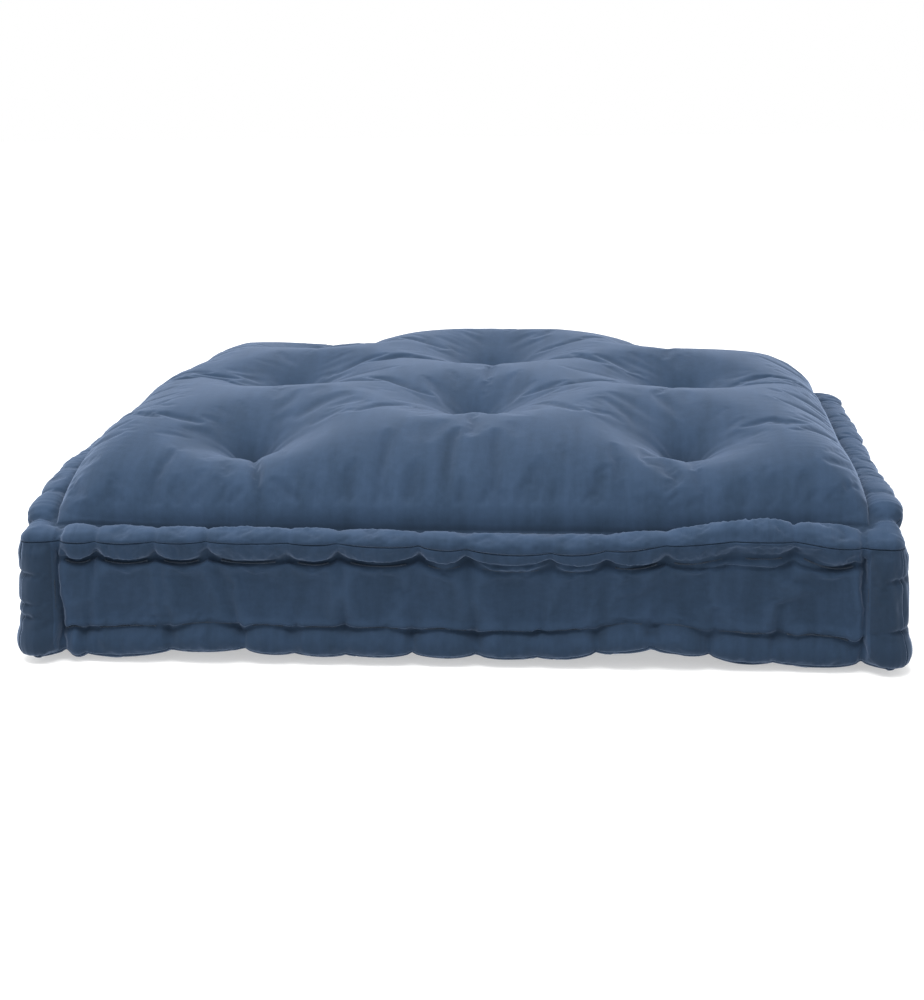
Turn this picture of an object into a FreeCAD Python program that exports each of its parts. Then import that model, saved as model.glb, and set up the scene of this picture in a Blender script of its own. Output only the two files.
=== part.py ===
"""Square floor cushion of the mattress kind: a tufted, crowned block of wadding in a sewn cover.

The cover has a top panel, a bottom panel and four side panels. Its seams run round the outside of
twelve stuffed edge rolls: four round the top, four round the bottom and one up each corner. Each
roll is pinched off from the filling by a line of hand stitching, which also puckers it into
segments. Eight ties of twine go through the whole cushion and pull the two faces into pits.

The cushion stands on the plane Z = 0, centred on the Z axis, with its front towards -Y.
All sizes are in millimetres and come from the spreadsheet "Sizes".
"""
import FreeCAD
import Part
import os
import Sketcher

from FreeCAD import Placement, Rotation, Vector

PARTS_FOLDER = "parts"

# Alias: size in millimetres, unless the name says otherwise.
SIZES = {
    "side_length": 914,        # over the edge rolls, both ways
    "edge_height": 152,        # from the floor to the top of the upper rolls
    "roll_diameter": 38,       # of an edge roll, cloth included
    "side_recess": 9,          # of the side faces behind the rolls
    "crown_rise": 72,          # of the filling's crown above the upper rolls
    "crown_lap": 2,            # the crown's edge laps the upper rolls by this much
    "crown_bank": 90,          # in plan, from the crown's edge to its flat
    "crown_round": 130,        # radius between the bank and the flat
    "cloth_thickness": 1.5,
    "fit_gap": 0.4,            # left between pieces that only lie against each other
    "seam_gap": 0.2,           # left between two panels along their seam
    "roll_segments": 13,       # puckers along one side, a count
    "pucker_depth": 2.5,
    "pucker_round": 4,         # radius of a pucker across a corner roll
    "corner_puckers": 3,       # round each corner roll, a count
    "tuft_column": 238,        # from the middle to an outer column of tufts
    "tuft_row": 141.5,         # between one row of tufts and the next
    "top_tuft_height": 148,    # height of the upper pits' floor
    "bottom_tuft_height": 16,  # height of the lower pits' roof
    "pit_floor_radius": 7,
    "top_pit_radius": 66,      # at the mouth, level with the crown's top
    "bottom_pit_radius": 40,   # at the mouth, on the floor
    "twine_diameter": 3,
    "knot_diameter": 10,
    "knot_height": 3,
    "thread_diameter": 2.5,    # of the doubled thread in the grooves beside the rolls
    "stitch_share": 0.7,       # of a segment's length that its stitch covers, a ratio
    "upper_thread_in": 20.3,   # inside the roll's axis, in the groove against the crown
    "upper_thread_up": 7,      # above the roll's axis, in the same groove
    "under_thread_in": 15.2,   # inside the roll's axis, in the groove on the underside
    "under_thread_down": 14.2, # below the roll's axis, in the same groove
    "side_thread_out": 12,     # outside the roll's axis, in the groove against the side face
    "side_thread_down": 17.6,  # along the side face from the roll's axis, in the same groove
}

# Columns and rows of the eight tufts, counted from the middle: rows of two, one, two, one, two.
TUFT_PLACES = [(-1, -2), (1, -2), (0, -1), (-1, 0), (1, 0), (0, 1), (-1, 2), (1, 2)]

# The four sides, a quarter turn anticlockwise from each to the next.
SIDES = ["front", "right", "back", "left"]
CORNERS = {"front_left": (-1, -1), "front_right": (1, -1), "back_right": (1, 1), "back_left": (-1, 1)}

# Expressions in the spreadsheet's names, used in several pieces.
ROLL = "Sizes.roll_diameter / 2"
WADDING = "(Sizes.roll_diameter / 2 - Sizes.cloth_thickness - Sizes.fit_gap)"
ROLL_LINE = "(Sizes.side_length / 2 - Sizes.roll_diameter / 2)"
UPPER_SEAM = "(Sizes.edge_height - Sizes.roll_diameter / 2)"
LOWER_SEAM = "(Sizes.roll_diameter / 2)"
ROLL_REACH = "(Sizes.side_length / 2 - Sizes.roll_diameter - Sizes.fit_gap)"
CROWN_HALF = "(Sizes.side_length / 2 - Sizes.roll_diameter + Sizes.crown_lap)"
CROWN_HEIGHT = "(Sizes.crown_rise + Sizes.roll_diameter / 2)"
SIDE_FACE = "(Sizes.side_length / 2 - Sizes.side_recess)"
PITCH = f"(2 * {ROLL_REACH} / Sizes.roll_segments)"
CLOTH = "Sizes.cloth_thickness"
INSIDE = "(Sizes.cloth_thickness + Sizes.fit_gap)"

LEVEL_TOLERANCE = 0.01  # millimetres

UP = Vector(0, 0, 1)
UPRIGHT = Rotation()
ALONG_X = Rotation(Vector(0, 1, 0), 90)
ALONG_Y = Rotation(Vector(1, 0, 0), -90)
ON_EDGE = Rotation(Vector(1, 0, 0), 90)

doc = FreeCAD.newDocument("floor_cushion")


def make_sheet():
    """Fills the spreadsheet that holds every driving dimension."""
    sheet = doc.addObject("Spreadsheet::Sheet", "Sizes")
    for row, (alias, value) in enumerate(SIZES.items(), start=1):
        sheet.set(f"A{row}", alias)
        sheet.set(f"B{row}", str(value))
        sheet.setAlias(f"B{row}", alias)
    doc.recompute()


def size(alias):
    """One of the spreadsheet's sizes, as a number."""
    return float(doc.Sizes.get(alias))


def turned(x, y, quarter):
    """A place in plan on the front side, as two expressions, carried on by quarter turns."""
    return [(x, y), (f"-({y})", x), (f"-({x})", f"-({y})"), (y, f"-({x})")][quarter]


def bind(obj, **expressions):
    """Binds properties of obj to expressions; base_x, base_y and base_z set its place."""
    for name, expression in expressions.items():
        if name.startswith("base_"):
            name = "Placement.Base." + name[-1]
        obj.setExpression(name, expression)
    return obj


def block(name, low, high):
    """A box between two corners, each given as three expressions."""
    box = doc.addObject("Part::Box", name)
    sizes = [f"({top}) - ({bottom})" for bottom, top in zip(low, high)]
    return bind(box, Length=sizes[0], Width=sizes[1], Height=sizes[2],
                base_x=low[0], base_y=low[1], base_z=low[2])


def square_block(name, half, low, high):
    """A square box about the Z axis, of that half width, between two heights."""
    return block(name, [f"-({half})", f"-({half})", low], [half, half, high])


def rod(name, radius, length, start, turn):
    """A round bar that leaves start, given as three expressions, the way that turn points +Z."""
    bar = doc.addObject("Part::Cylinder", name)
    bar.Placement = Placement(Vector(), turn)
    return bind(bar, Radius=radius, Height=length, base_x=start[0], base_y=start[1], base_z=start[2])


def ball(name, radius, centre):
    """A ball about a centre given as three expressions."""
    sphere = doc.addObject("Part::Sphere", name)
    return bind(sphere, Radius=radius, base_x=centre[0], base_y=centre[1], base_z=centre[2])


def fuse(name, shapes):
    """One solid from several."""
    joined = doc.addObject("Part::MultiFuse", name)
    joined.Shapes = shapes
    return joined


def group(name, shapes):
    """Several separate solids in one object."""
    held = doc.addObject("Part::Compound", name)
    held.Links = shapes
    return held


def cut(name, base, tool):
    """Base with tool taken away."""
    made = doc.addObject("Part::Cut", name)
    made.Base = base
    made.Tool = tool
    return made


def crown(name, inset):
    """The domed upper part: a square block that banks inwards from the upper seam, rounded on top."""
    half = f"({CROWN_HALF} - ({inset}))"
    top_half = f"({half} - Sizes.crown_bank)"
    height = f"({CROWN_HEIGHT} - ({inset}))"
    bank = doc.addObject("Part::Wedge", name + "_bank")
    bank.Placement = Placement(Vector(), ON_EDGE)
    # A wedge narrows along its own Y axis, which stands upright here.
    bind(bank, Xmin=f"-{half}", Xmax=half, Zmin=f"-{half}", Zmax=half, Ymin="0", Ymax=height,
         X2min=f"-{top_half}", X2max=top_half, Z2min=f"-{top_half}", Z2max=top_half, base_z=UPPER_SEAM)
    doc.recompute()
    rim = [number for number, edge in enumerate(bank.Shape.Edges, start=1)
           if min(vertex.Z for vertex in edge.Vertexes) > bank.Shape.BoundBox.ZMax - LEVEL_TOLERANCE]
    rounded = doc.addObject("Part::Fillet", name)
    rounded.Base = bank
    rounded.Edges = [(number, size("crown_round"), size("crown_round")) for number in rim]
    return rounded


def tuft_place(column, row):
    """Where a tuft stands in plan, as two expressions."""
    return f"{column} * Sizes.tuft_column", f"{row} * Sizes.tuft_row"


def pits(name, inset):
    """The space that the tufts pull open above and below, larger than the cover's by inset."""
    cones = []
    for number, place in enumerate(TUFT_PLACES, start=1):
        x, y = tuft_place(*place)
        floor = f"Sizes.top_tuft_height - ({inset})"
        upper = doc.addObject("Part::Cone", f"{name}_upper_{number}")
        bind(upper, Radius1=f"Sizes.pit_floor_radius + ({inset})", Radius2=f"Sizes.top_pit_radius + ({inset})",
             Height=f"Sizes.edge_height + Sizes.crown_rise + 1 - ({floor})", base_x=x, base_y=y, base_z=floor)
        lower = doc.addObject("Part::Cone", f"{name}_lower_{number}")
        bind(lower, Radius1=f"Sizes.bottom_pit_radius + ({inset})", Radius2=f"Sizes.pit_floor_radius + ({inset})",
             Height=f"Sizes.bottom_tuft_height + ({inset}) + 1", base_x=x, base_y=y, base_z="-1")
        cones += [upper, lower]
    return cones


def tie_holes(name):
    """A clear hole for each tie, right through the cushion."""
    radius = "Sizes.twine_diameter / 2 + Sizes.fit_gap"
    height = "Sizes.edge_height + Sizes.crown_rise"
    return [rod(f"{name}_{number}", radius, height, [*tuft_place(*place), "0"], UPRIGHT)
            for number, place in enumerate(TUFT_PLACES, start=1)]


def cover_space(name, inset):
    """Everything inside the cover, its surface set in by inset: core, crown, belly and roll frame."""
    radius = f"({ROLL} - ({inset}))"
    span = f"2 * {ROLL_LINE}"
    pieces = [
        square_block(name + "_core", f"{SIDE_FACE} - ({inset})", LOWER_SEAM, UPPER_SEAM),
        square_block(name + "_belly", f"{CROWN_HALF} - ({inset})", inset, LOWER_SEAM),
        crown(name + "_crown", inset),
    ]
    for level, height in (("upper", UPPER_SEAM), ("lower", LOWER_SEAM)):
        for sign in ("-1", "1"):
            tag = f"{name}_{level}_{'low' if sign == '-1' else 'high'}"
            start, across = f"-{ROLL_LINE}", f"{sign} * {ROLL_LINE}"
            pieces.append(rod(tag + "_x", radius, span, [start, across, height], ALONG_X))
            pieces.append(rod(tag + "_y", radius, span, [across, start, height], ALONG_Y))
        for corner, (x, y) in CORNERS.items():
            centre = [f"{x} * {ROLL_LINE}", f"{y} * {ROLL_LINE}", height]
            pieces.append(ball(f"{name}_{level}_{corner}", radius, centre))
    for corner, (x, y) in CORNERS.items():
        foot = [f"{x} * {ROLL_LINE}", f"{y} * {ROLL_LINE}", LOWER_SEAM]
        pieces.append(rod(f"{name}_post_{corner}", radius, f"{UPPER_SEAM} - {LOWER_SEAM}", foot, UPRIGHT))
    return cut(name, fuse(name + "_uncut", pieces), group(name + "_pits", pits(name + "_pit", inset)))


def side_region(side, quarter):
    """The quarter of the space round the Z axis that faces one side, between the two seams."""
    region = doc.addObject("Part::Box", f"region_{side}")
    region.Placement = Placement(Vector(), Rotation(UP, 90 * quarter - 135))
    x, y = turned("0", "-Sizes.seam_gap", quarter)
    reach = "Sizes.side_length"
    return bind(region, Length=reach, Width=reach, Height=f"{UPPER_SEAM} - {LOWER_SEAM} - Sizes.seam_gap",
                base_x=x, base_y=y, base_z=f"{LOWER_SEAM} + Sizes.seam_gap / 2")


def make_cover():
    """The six sewn panels: one shell of cloth, divided along its seams."""
    shell = cut("cover_shell", cover_space("cover_outside", "0"), cover_space("cover_inside", CLOTH))
    pierced = cut("cover_pierced", shell, group("cover_holes", tie_holes("cover_hole")))
    reach = "Sizes.side_length"
    top = "Sizes.edge_height + Sizes.crown_rise"
    regions = {
        "top_panel": square_block("region_top", reach, f"{UPPER_SEAM} + Sizes.seam_gap / 2", f"{top} + 1"),
        "bottom_panel": square_block("region_bottom", reach, "-1", f"{LOWER_SEAM} - Sizes.seam_gap / 2"),
    }
    for quarter, side in enumerate(SIDES):
        regions[f"side_panel_{side}"] = side_region(side, quarter)
    panels = []
    for label, region in regions.items():
        panel = doc.addObject("Part::Common", label)
        panel.Base = pierced
        panel.Tool = region
        panels.append(panel)
    return panels


def make_filling():
    """The block of cotton wadding, clear of the cover, the edge rolls and the ties."""
    middle = f"{CROWN_HALF} - Sizes.crown_lap - {INSIDE}"
    belt = f"{SIDE_FACE} - {INSIDE}"
    belt_low = "Sizes.roll_diameter + Sizes.fit_gap"
    belt_high = "Sizes.edge_height - Sizes.roll_diameter - Sizes.fit_gap"
    pieces = [
        square_block("filling_block", middle, INSIDE, UPPER_SEAM),
        block("filling_belt_x", [f"-({belt})", f"-({middle})", belt_low], [belt, middle, belt_high]),
        block("filling_belt_y", [f"-({middle})", f"-({belt})", belt_low], [middle, belt, belt_high]),
        crown("filling_crown", INSIDE),
    ]
    tools = pits("filling_pit", INSIDE) + tie_holes("filling_hole")
    filling = cut("filling", fuse("filling_uncut", pieces), group("filling_tools", tools))
    return [filling]


def origin_plane(body, role):
    """One of a body's own origin planes."""
    return next(item for item in body.Origin.OriginFeatures if item.Role == role)


def barrel_sketch(body):
    """Half the section of one roll segment, along the body's X axis: narrow necks, a round belly."""
    neck = size("roll_diameter") / 2 - size("cloth_thickness") - size("fit_gap") - size("pucker_depth")
    depth = size("pucker_depth")
    pitch = (size("side_length") - 2 * size("roll_diameter") - 2 * size("fit_gap")) / size("roll_segments")
    corners = [Vector(0, 0, 0), Vector(0, neck, 0), Vector(pitch, neck, 0), Vector(pitch, 0, 0)]
    sketch = body.newObject("Sketcher::SketchObject", body.Name + "_section")
    sketch.AttachmentSupport = [(origin_plane(body, "XZ_Plane"), "")]
    sketch.MapMode = "FlatFace"
    sketch.addGeometry(Part.LineSegment(corners[0], corners[1]), False)
    sketch.addGeometry(Part.Arc(corners[1], Vector(pitch / 2, neck + depth, 0), corners[2]), False)
    sketch.addGeometry(Part.LineSegment(corners[2], corners[3]), False)
    sketch.addGeometry(Part.LineSegment(corners[3], corners[0]), False)
    left, belly, right, axis = range(4)
    # An arc runs anticlockwise, so the belly starts at the right-hand neck.
    meetings = [(left, 2, belly, 2), (belly, 1, right, 1), (right, 2, axis, 1), (axis, 2, left, 1)]
    for meeting in meetings:
        sketch.addConstraint(Sketcher.Constraint("Coincident", *meeting))
    sketch.addConstraint(Sketcher.Constraint("Coincident", left, 1, -1, 1))
    sketch.addConstraint(Sketcher.Constraint("Vertical", left))
    sketch.addConstraint(Sketcher.Constraint("Vertical", right))
    sketch.addConstraint(Sketcher.Constraint("Horizontal", axis))
    named = {
        "neck": (Sketcher.Constraint("DistanceY", left, 1, left, 2, neck), f"{WADDING} - Sizes.pucker_depth"),
        "pitch": (Sketcher.Constraint("DistanceX", axis, 2, axis, 1, pitch), PITCH),
        "belly": (Sketcher.Constraint("Radius", belly, sketch.Geometry[belly].Radius),
                  f"({PITCH} ^ 2 / 4 + Sizes.pucker_depth ^ 2) / (2 * Sizes.pucker_depth)"),
    }
    for name, (constraint, expression) in named.items():
        sketch.renameConstraint(sketch.addConstraint(constraint), name)
        sketch.setExpression(f"Constraints.{name}", expression)
    return sketch


def make_edge_roll(label, quarter, height):
    """The stuffing of one straight edge roll: barrels in a row, as its puckers divide it."""
    body = doc.addObject("PartDesign::Body", label)
    sketch = barrel_sketch(body)
    barrel = body.newObject("PartDesign::Revolution", label + "_barrel")
    barrel.Profile = sketch
    barrel.ReferenceAxis = (sketch, ["H_Axis"])
    barrel.Angle = 360
    row = body.newObject("PartDesign::LinearPattern", label + "_row")
    row.Originals = [barrel]
    row.Direction = (sketch, ["H_Axis"])
    bind(row, Length=f"{PITCH} * (Sizes.roll_segments - 1)", Occurrences="Sizes.roll_segments")
    body.Tip = row
    body.Placement = Placement(Vector(), Rotation(UP, 90 * quarter))
    x, y = turned(f"-{ROLL_REACH}", f"-{ROLL_LINE}", quarter)
    return bind(body, base_x=x, base_y=y, base_z=height)


def make_corner_roll(label, corner):
    """The stuffing of one corner roll: a round-ended post with puckers round it."""
    x, y = [f"{sign} * {ROLL_LINE}" for sign in corner]
    post = fuse(label + "_post", [
        rod(label + "_shaft", WADDING, f"{UPPER_SEAM} - {LOWER_SEAM}", [x, y, LOWER_SEAM], UPRIGHT),
        ball(label + "_foot", WADDING, [x, y, LOWER_SEAM]),
        ball(label + "_head", WADDING, [x, y, UPPER_SEAM]),
    ])
    rings = []
    count = SIZES["corner_puckers"]
    for number in range(1, count + 1):
        ring = doc.addObject("Part::Torus", f"{label}_pucker_{number}")
        height = f"{LOWER_SEAM} + ({UPPER_SEAM} - {LOWER_SEAM}) * {number} / {count + 1}"
        rings.append(bind(ring, Radius1=f"{WADDING} + Sizes.pucker_round - Sizes.pucker_depth",
                          Radius2="Sizes.pucker_round", base_x=x, base_y=y, base_z=height))
    return cut(label, post, group(label + "_puckers", rings))


def make_rolls():
    """The twelve stuffed rolls: four round the top, four round the bottom, one up each corner."""
    rolls = []
    for level, height in (("top", UPPER_SEAM), ("bottom", LOWER_SEAM)):
        for quarter, side in enumerate(SIDES):
            rolls.append(make_edge_roll(f"{level}_roll_{side}", quarter, height))
    for name, corner in CORNERS.items():
        rolls.append(make_corner_roll(f"corner_roll_{name}", corner))
    return rolls


def make_ties():
    """The eight ties: twine right through, a knot in the lower pit and a stitch in the upper one."""
    ties = []
    for number, place in enumerate(TUFT_PLACES, start=1):
        x, y = tuft_place(*place)
        low = "Sizes.bottom_tuft_height - Sizes.fit_gap - Sizes.knot_height"
        high = "Sizes.top_tuft_height + Sizes.fit_gap"
        label = f"tuft_tie_{number}"
        twine = rod(label + "_twine", "Sizes.twine_diameter / 2", f"{high} - ({low})", [x, y, low], UPRIGHT)
        ends = [rod(f"{label}_{end}", "Sizes.knot_diameter / 2", "Sizes.knot_height", [x, y, z], UPRIGHT)
                for end, z in (("knot", low), ("stitch", high))]
        ties.append(fuse(label, [twine, *ends]))
    return ties


def edge_stitches(name, inward, height):
    """One stitch to a segment along a groove on all four sides, at that distance inside the roll line."""
    stitches = []
    length = f"{PITCH} * Sizes.stitch_share"
    for quarter, side in enumerate(SIDES):
        for number in range(SIZES["roll_segments"]):
            start = f"-{ROLL_REACH} + {PITCH} * ({number} + (1 - Sizes.stitch_share) / 2)"
            x, y = turned(start, f"-({ROLL_LINE} - ({inward}))", quarter)
            along = Rotation(UP, 90 * quarter).multiply(ALONG_X)
            tag = f"{name}_{side}_{number + 1}"
            stitches.append(rod(tag, "Sizes.thread_diameter / 2", length, [x, y, height], along))
    return stitches


def make_threads():
    """The doubled threads that pinch the rolls off, lying in the grooves beside them."""
    out = "-Sizes.side_thread_out"
    top = edge_stitches("top_thread", "Sizes.upper_thread_in", f"{UPPER_SEAM} + Sizes.upper_thread_up")
    top += edge_stitches("top_side_thread", out, f"{UPPER_SEAM} - Sizes.side_thread_down")
    bottom = edge_stitches("under_thread", "Sizes.under_thread_in", f"{LOWER_SEAM} - Sizes.under_thread_down")
    bottom += edge_stitches("bottom_side_thread", out, f"{LOWER_SEAM} + Sizes.side_thread_down")
    corner = []
    count = SIZES["corner_puckers"] + 1
    step = f"({UPPER_SEAM} - {LOWER_SEAM}) / {count}"
    # The end segments' grooves are taken up by the horizontal rolls.
    for number in range(1, count - 1):
        start = f"{LOWER_SEAM} + {step} * ({number} + (1 - Sizes.stitch_share) / 2)"
        for quarter, side in enumerate(SIDES):
            for hand in (-1, 1):
                across = f"{hand} * ({ROLL_LINE} - Sizes.side_thread_down)"
                x, y = turned(across, f"-({ROLL_LINE} + Sizes.side_thread_out)", quarter)
                tag = f"corner_thread_{side}_{number}_{'left' if hand < 0 else 'right'}"
                length = f"{step} * Sizes.stitch_share"
                corner.append(rod(tag, "Sizes.thread_diameter / 2", length, [x, y, start], UPRIGHT))
    return [group("stitch_thread_top", top), group("stitch_thread_bottom", bottom),
            group("stitch_thread_corners", corner)]


def export(pieces):
    """Checks every object of the document and every piece, then writes one STEP file a piece."""
    failed = [o.Label for o in doc.Objects if "Invalid" in o.State or "Error" in o.State]
    if failed:
        raise RuntimeError(f"these objects failed to build: {failed}")
    os.makedirs(PARTS_FOLDER, exist_ok=True)
    for piece in pieces:
        shape = piece.Shape
        if shape.isNull() or not shape.isValid() or not shape.Solids:
            raise RuntimeError(f"{piece.Label} has no valid solid")
        shape.exportStep(os.path.join(PARTS_FOLDER, piece.Label + ".step"))
        box = shape.BoundBox
        print(f"{piece.Label}: {len(shape.Solids)} solid(s), {shape.Volume / 1000:.1f} cm3, "
              f"{box.XLength:.1f} x {box.YLength:.1f} x {box.ZLength:.1f} mm, lowest {box.ZMin:.2f}")


make_sheet()
sub_parts = make_cover() + make_filling() + make_rolls() + make_ties() + make_threads()
doc.recompute()
export(sub_parts)
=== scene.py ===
"""Looks of the square floor cushion: a tufted mattress cushion in a brushed cotton cover.

The cover is laid out on the CAD's sizes as one closed surface of six panels, swollen and gathered by
a cloth simulation, and then parted along its seams. Filling, roll stuffing, ties and stitches go in
behind it. Lengths are in metres; MM turns a maker's millimetres into them.
"""

import itertools
import logging
import math
from collections.abc import Callable
from dataclasses import dataclass, field
from enum import Enum

import bpy
import numpy as np
from mathutils import Matrix, Vector


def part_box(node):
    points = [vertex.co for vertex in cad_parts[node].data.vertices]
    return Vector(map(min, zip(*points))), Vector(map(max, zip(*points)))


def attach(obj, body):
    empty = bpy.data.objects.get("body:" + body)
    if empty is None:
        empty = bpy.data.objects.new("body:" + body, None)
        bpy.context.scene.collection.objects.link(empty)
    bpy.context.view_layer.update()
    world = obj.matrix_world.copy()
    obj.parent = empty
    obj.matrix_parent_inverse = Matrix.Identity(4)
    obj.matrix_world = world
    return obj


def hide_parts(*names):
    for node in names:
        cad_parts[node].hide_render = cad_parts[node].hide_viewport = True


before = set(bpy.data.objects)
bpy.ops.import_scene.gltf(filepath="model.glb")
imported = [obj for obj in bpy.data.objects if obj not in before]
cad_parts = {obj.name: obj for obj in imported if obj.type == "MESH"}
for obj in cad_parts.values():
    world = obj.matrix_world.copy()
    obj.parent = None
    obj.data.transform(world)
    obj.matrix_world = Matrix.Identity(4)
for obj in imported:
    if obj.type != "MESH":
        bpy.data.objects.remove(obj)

MM = 0.001
LOG = logging.getLogger("cushion")
Grid = np.ndarray
Colour = tuple[float, float, float, float]


# ------------ sizes
class Side(Enum):
    """The four sides, a quarter turn anticlockwise from each to the next."""

    FRONT = 0
    RIGHT = 1
    BACK = 2
    LEFT = 3

    @property
    def label(self) -> str:
        """The side's name as the CAD nodes write it."""
        return self.name.lower()


@dataclass(frozen=True)
class CushionSizes:
    """The sizes that everything is laid out on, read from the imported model."""

    half: float
    roll_radius: float
    upper_seam: float
    lower_seam: float
    face_half: float
    crown_top: float
    tufts: tuple[tuple[float, float], ...]

    @classmethod
    def from_frame(cls) -> "CushionSizes":
        """Reads the sizes from the CAD nodes' boxes.

        Returns:
            The sizes.
        """
        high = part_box("top_panel")[1]
        side_low, side_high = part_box("side_panel_front")
        ties = [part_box(name) for name in sorted(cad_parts) if name.startswith("tuft_tie_")]
        middles = tuple(((low[0] + top[0]) / 2, (low[1] + top[1]) / 2) for low, top in ties)
        return cls(half=high[0], roll_radius=side_low[2], upper_seam=side_high[2], lower_seam=side_low[2],
                   face_half=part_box("filling")[1][0] + 2 * MM, crown_top=high[2], tufts=middles)

    @property
    def roll_line(self) -> float:
        """From the middle to a roll's axis."""
        return self.half - self.roll_radius

    @property
    def groove_drop(self) -> float:
        """From a roll's axis to the groove where the side cloth is stitched in beside it."""
        return self.roll_radius * 0.93

    @property
    def edge_height(self) -> float:
        """From the lower seam up to the upper one."""
        return self.upper_seam - self.lower_seam

    @property
    def rim(self) -> float:
        """Cloth from a roll's crest down to its seam."""
        return self.roll_radius * math.pi / 2

    @property
    def reach(self) -> float:
        """Cloth from the middle of a panel to its seam."""
        return self.roll_line + self.rim


# ------------ puckering
@dataclass(frozen=True)
class Sag:
    """A gentle rise or fall of a roll's line."""

    place: float
    width: float
    height: float


@dataclass
class PuckerRow:
    """The hand stitches along one edge roll: where they are and how they shape it."""

    places: list[float]
    crease: float
    wrap: float
    sags: tuple[Sag, ...] = ()
    ripple: float = 1.5 * MM
    corner_fade: float = 60 * MM
    depths: Grid = field(default_factory=lambda: np.empty(0))

    @classmethod
    def scattered(cls, rng: np.random.Generator, count: int, crease: float, wrap: float) -> "PuckerRow":
        """Stitches about evenly spaced, as a hand makes them.

        Args:
            rng: source of the unevenness.
            count: how many stitches between the corners.
            crease: distance from the middle to the crease beside each corner.
            wrap: cloth from that crease round the corner to the next one.

        Returns:
            The row.
        """
        pitch = 2 * crease / (count + 1)
        places = [-crease + pitch * (number + 1 + rng.uniform(-0.2, 0.2)) for number in range(count)]
        sags = tuple(Sag(rng.uniform(-crease, crease), rng.uniform(60, 130) * MM, rng.uniform(-4, 4) * MM)
                     for _ in range(3))
        return cls(places, crease, wrap, sags).tightened(rng)

    def tightened(self, rng: np.random.Generator) -> "PuckerRow":
        """Gives each stitch its own pull; those at the corners are all alike, so that rows meet.

        Args:
            rng: source of the unevenness.

        Returns:
            The row itself.
        """
        self.depths = rng.uniform(0.45, 1.4, len(self.places) + 4)
        self.depths[[0, 1, -2, -1]] = 1.9
        return self

    def stations(self) -> Grid:
        """All pinches along the cloth, with the creases at the corners and the next ones beyond."""
        return np.array([-self.crease - self.wrap, -self.crease, *self.places, self.crease,
                         self.crease + self.wrap])

    def phase(self, along: Grid) -> tuple[Grid, Grid]:
        """Where points lie between two pinches.

        Args:
            along: distances along the cloth from the side's middle.

        Returns:
            The number of the pinch before each point, and the fraction of the way to the next.
        """
        stations = self.stations()
        before = np.clip(np.searchsorted(stations, along, side="right") - 1, 0, len(stations) - 2)
        return before, np.clip((along - stations[before]) / (stations[before + 1] - stations[before]), 0, 1)

    def pull(self, along: Grid) -> Grid:
        """How strongly the nearest stitches pull at each place, whether or not it lies at one."""
        before, fraction = self.phase(along)
        return self.depths[before] * (1 - fraction) + self.depths[before + 1] * fraction

    def bulge(self, along: Grid, sharpness: float = 0.5) -> Grid:
        """0 at each pinch and 1 half-way between two: the lower the sharpness, the squarer."""
        fraction = self.phase(along)[1]
        return (4 * fraction * (1 - fraction)) ** sharpness

    def drift(self, along: Grid) -> Grid:
        """How far the roll's line stands above its true height.

        Args:
            along: distances along the cloth from the side's middle.

        Returns:
            A rise for each, which fades out towards the corners.
        """
        total = self.ripple * (0.5 - self.bulge(along, 1.0))
        for sag in self.sags:
            total += sag.height * np.exp(-(((along - sag.place) / sag.width) ** 2))
        fade = np.clip((self.crease - np.abs(along)) / self.corner_fade, 0, 1)
        return total * fade * fade * (3 - 2 * fade)


def smooth_max(first: Grid, second: Grid, blend: float) -> Grid:
    """The larger of two heights, with the corner between them rounded over blend."""
    overlap = np.maximum(blend - np.abs(first - second), 0) / blend
    return np.maximum(first, second) + overlap * overlap * blend / 4


def turn(points: Grid, side: Side) -> Grid:
    """Points laid out on the front side, carried round to another.

    Args:
        points: places on the front side.
        side: where they go.

    Returns:
        The places there.
    """
    x, y, z = points[..., 0], points[..., 1], points[..., 2]
    turned = {Side.FRONT: (x, y), Side.RIGHT: (-y, x), Side.BACK: (-x, -y), Side.LEFT: (y, -x)}[side]
    return np.stack([turned[0], turned[1], z], axis=-1)


# ------------ cover's shape
@dataclass(frozen=True)
class Furrow:
    """A long crease that the filling leaves in the crown, from one place in plan to another."""

    start: tuple[float, float]
    end: tuple[float, float]
    depth: float
    width: float


@dataclass(frozen=True)
class Dimple:
    """How deep a tie draws the cloth in, falling off with distance from it."""

    depth: float
    width: float
    power: float

    def at(self, away: Grid) -> Grid:
        """The depth at each distance."""
        return self.depth * np.exp(-((away / self.width) ** self.power))


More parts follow.
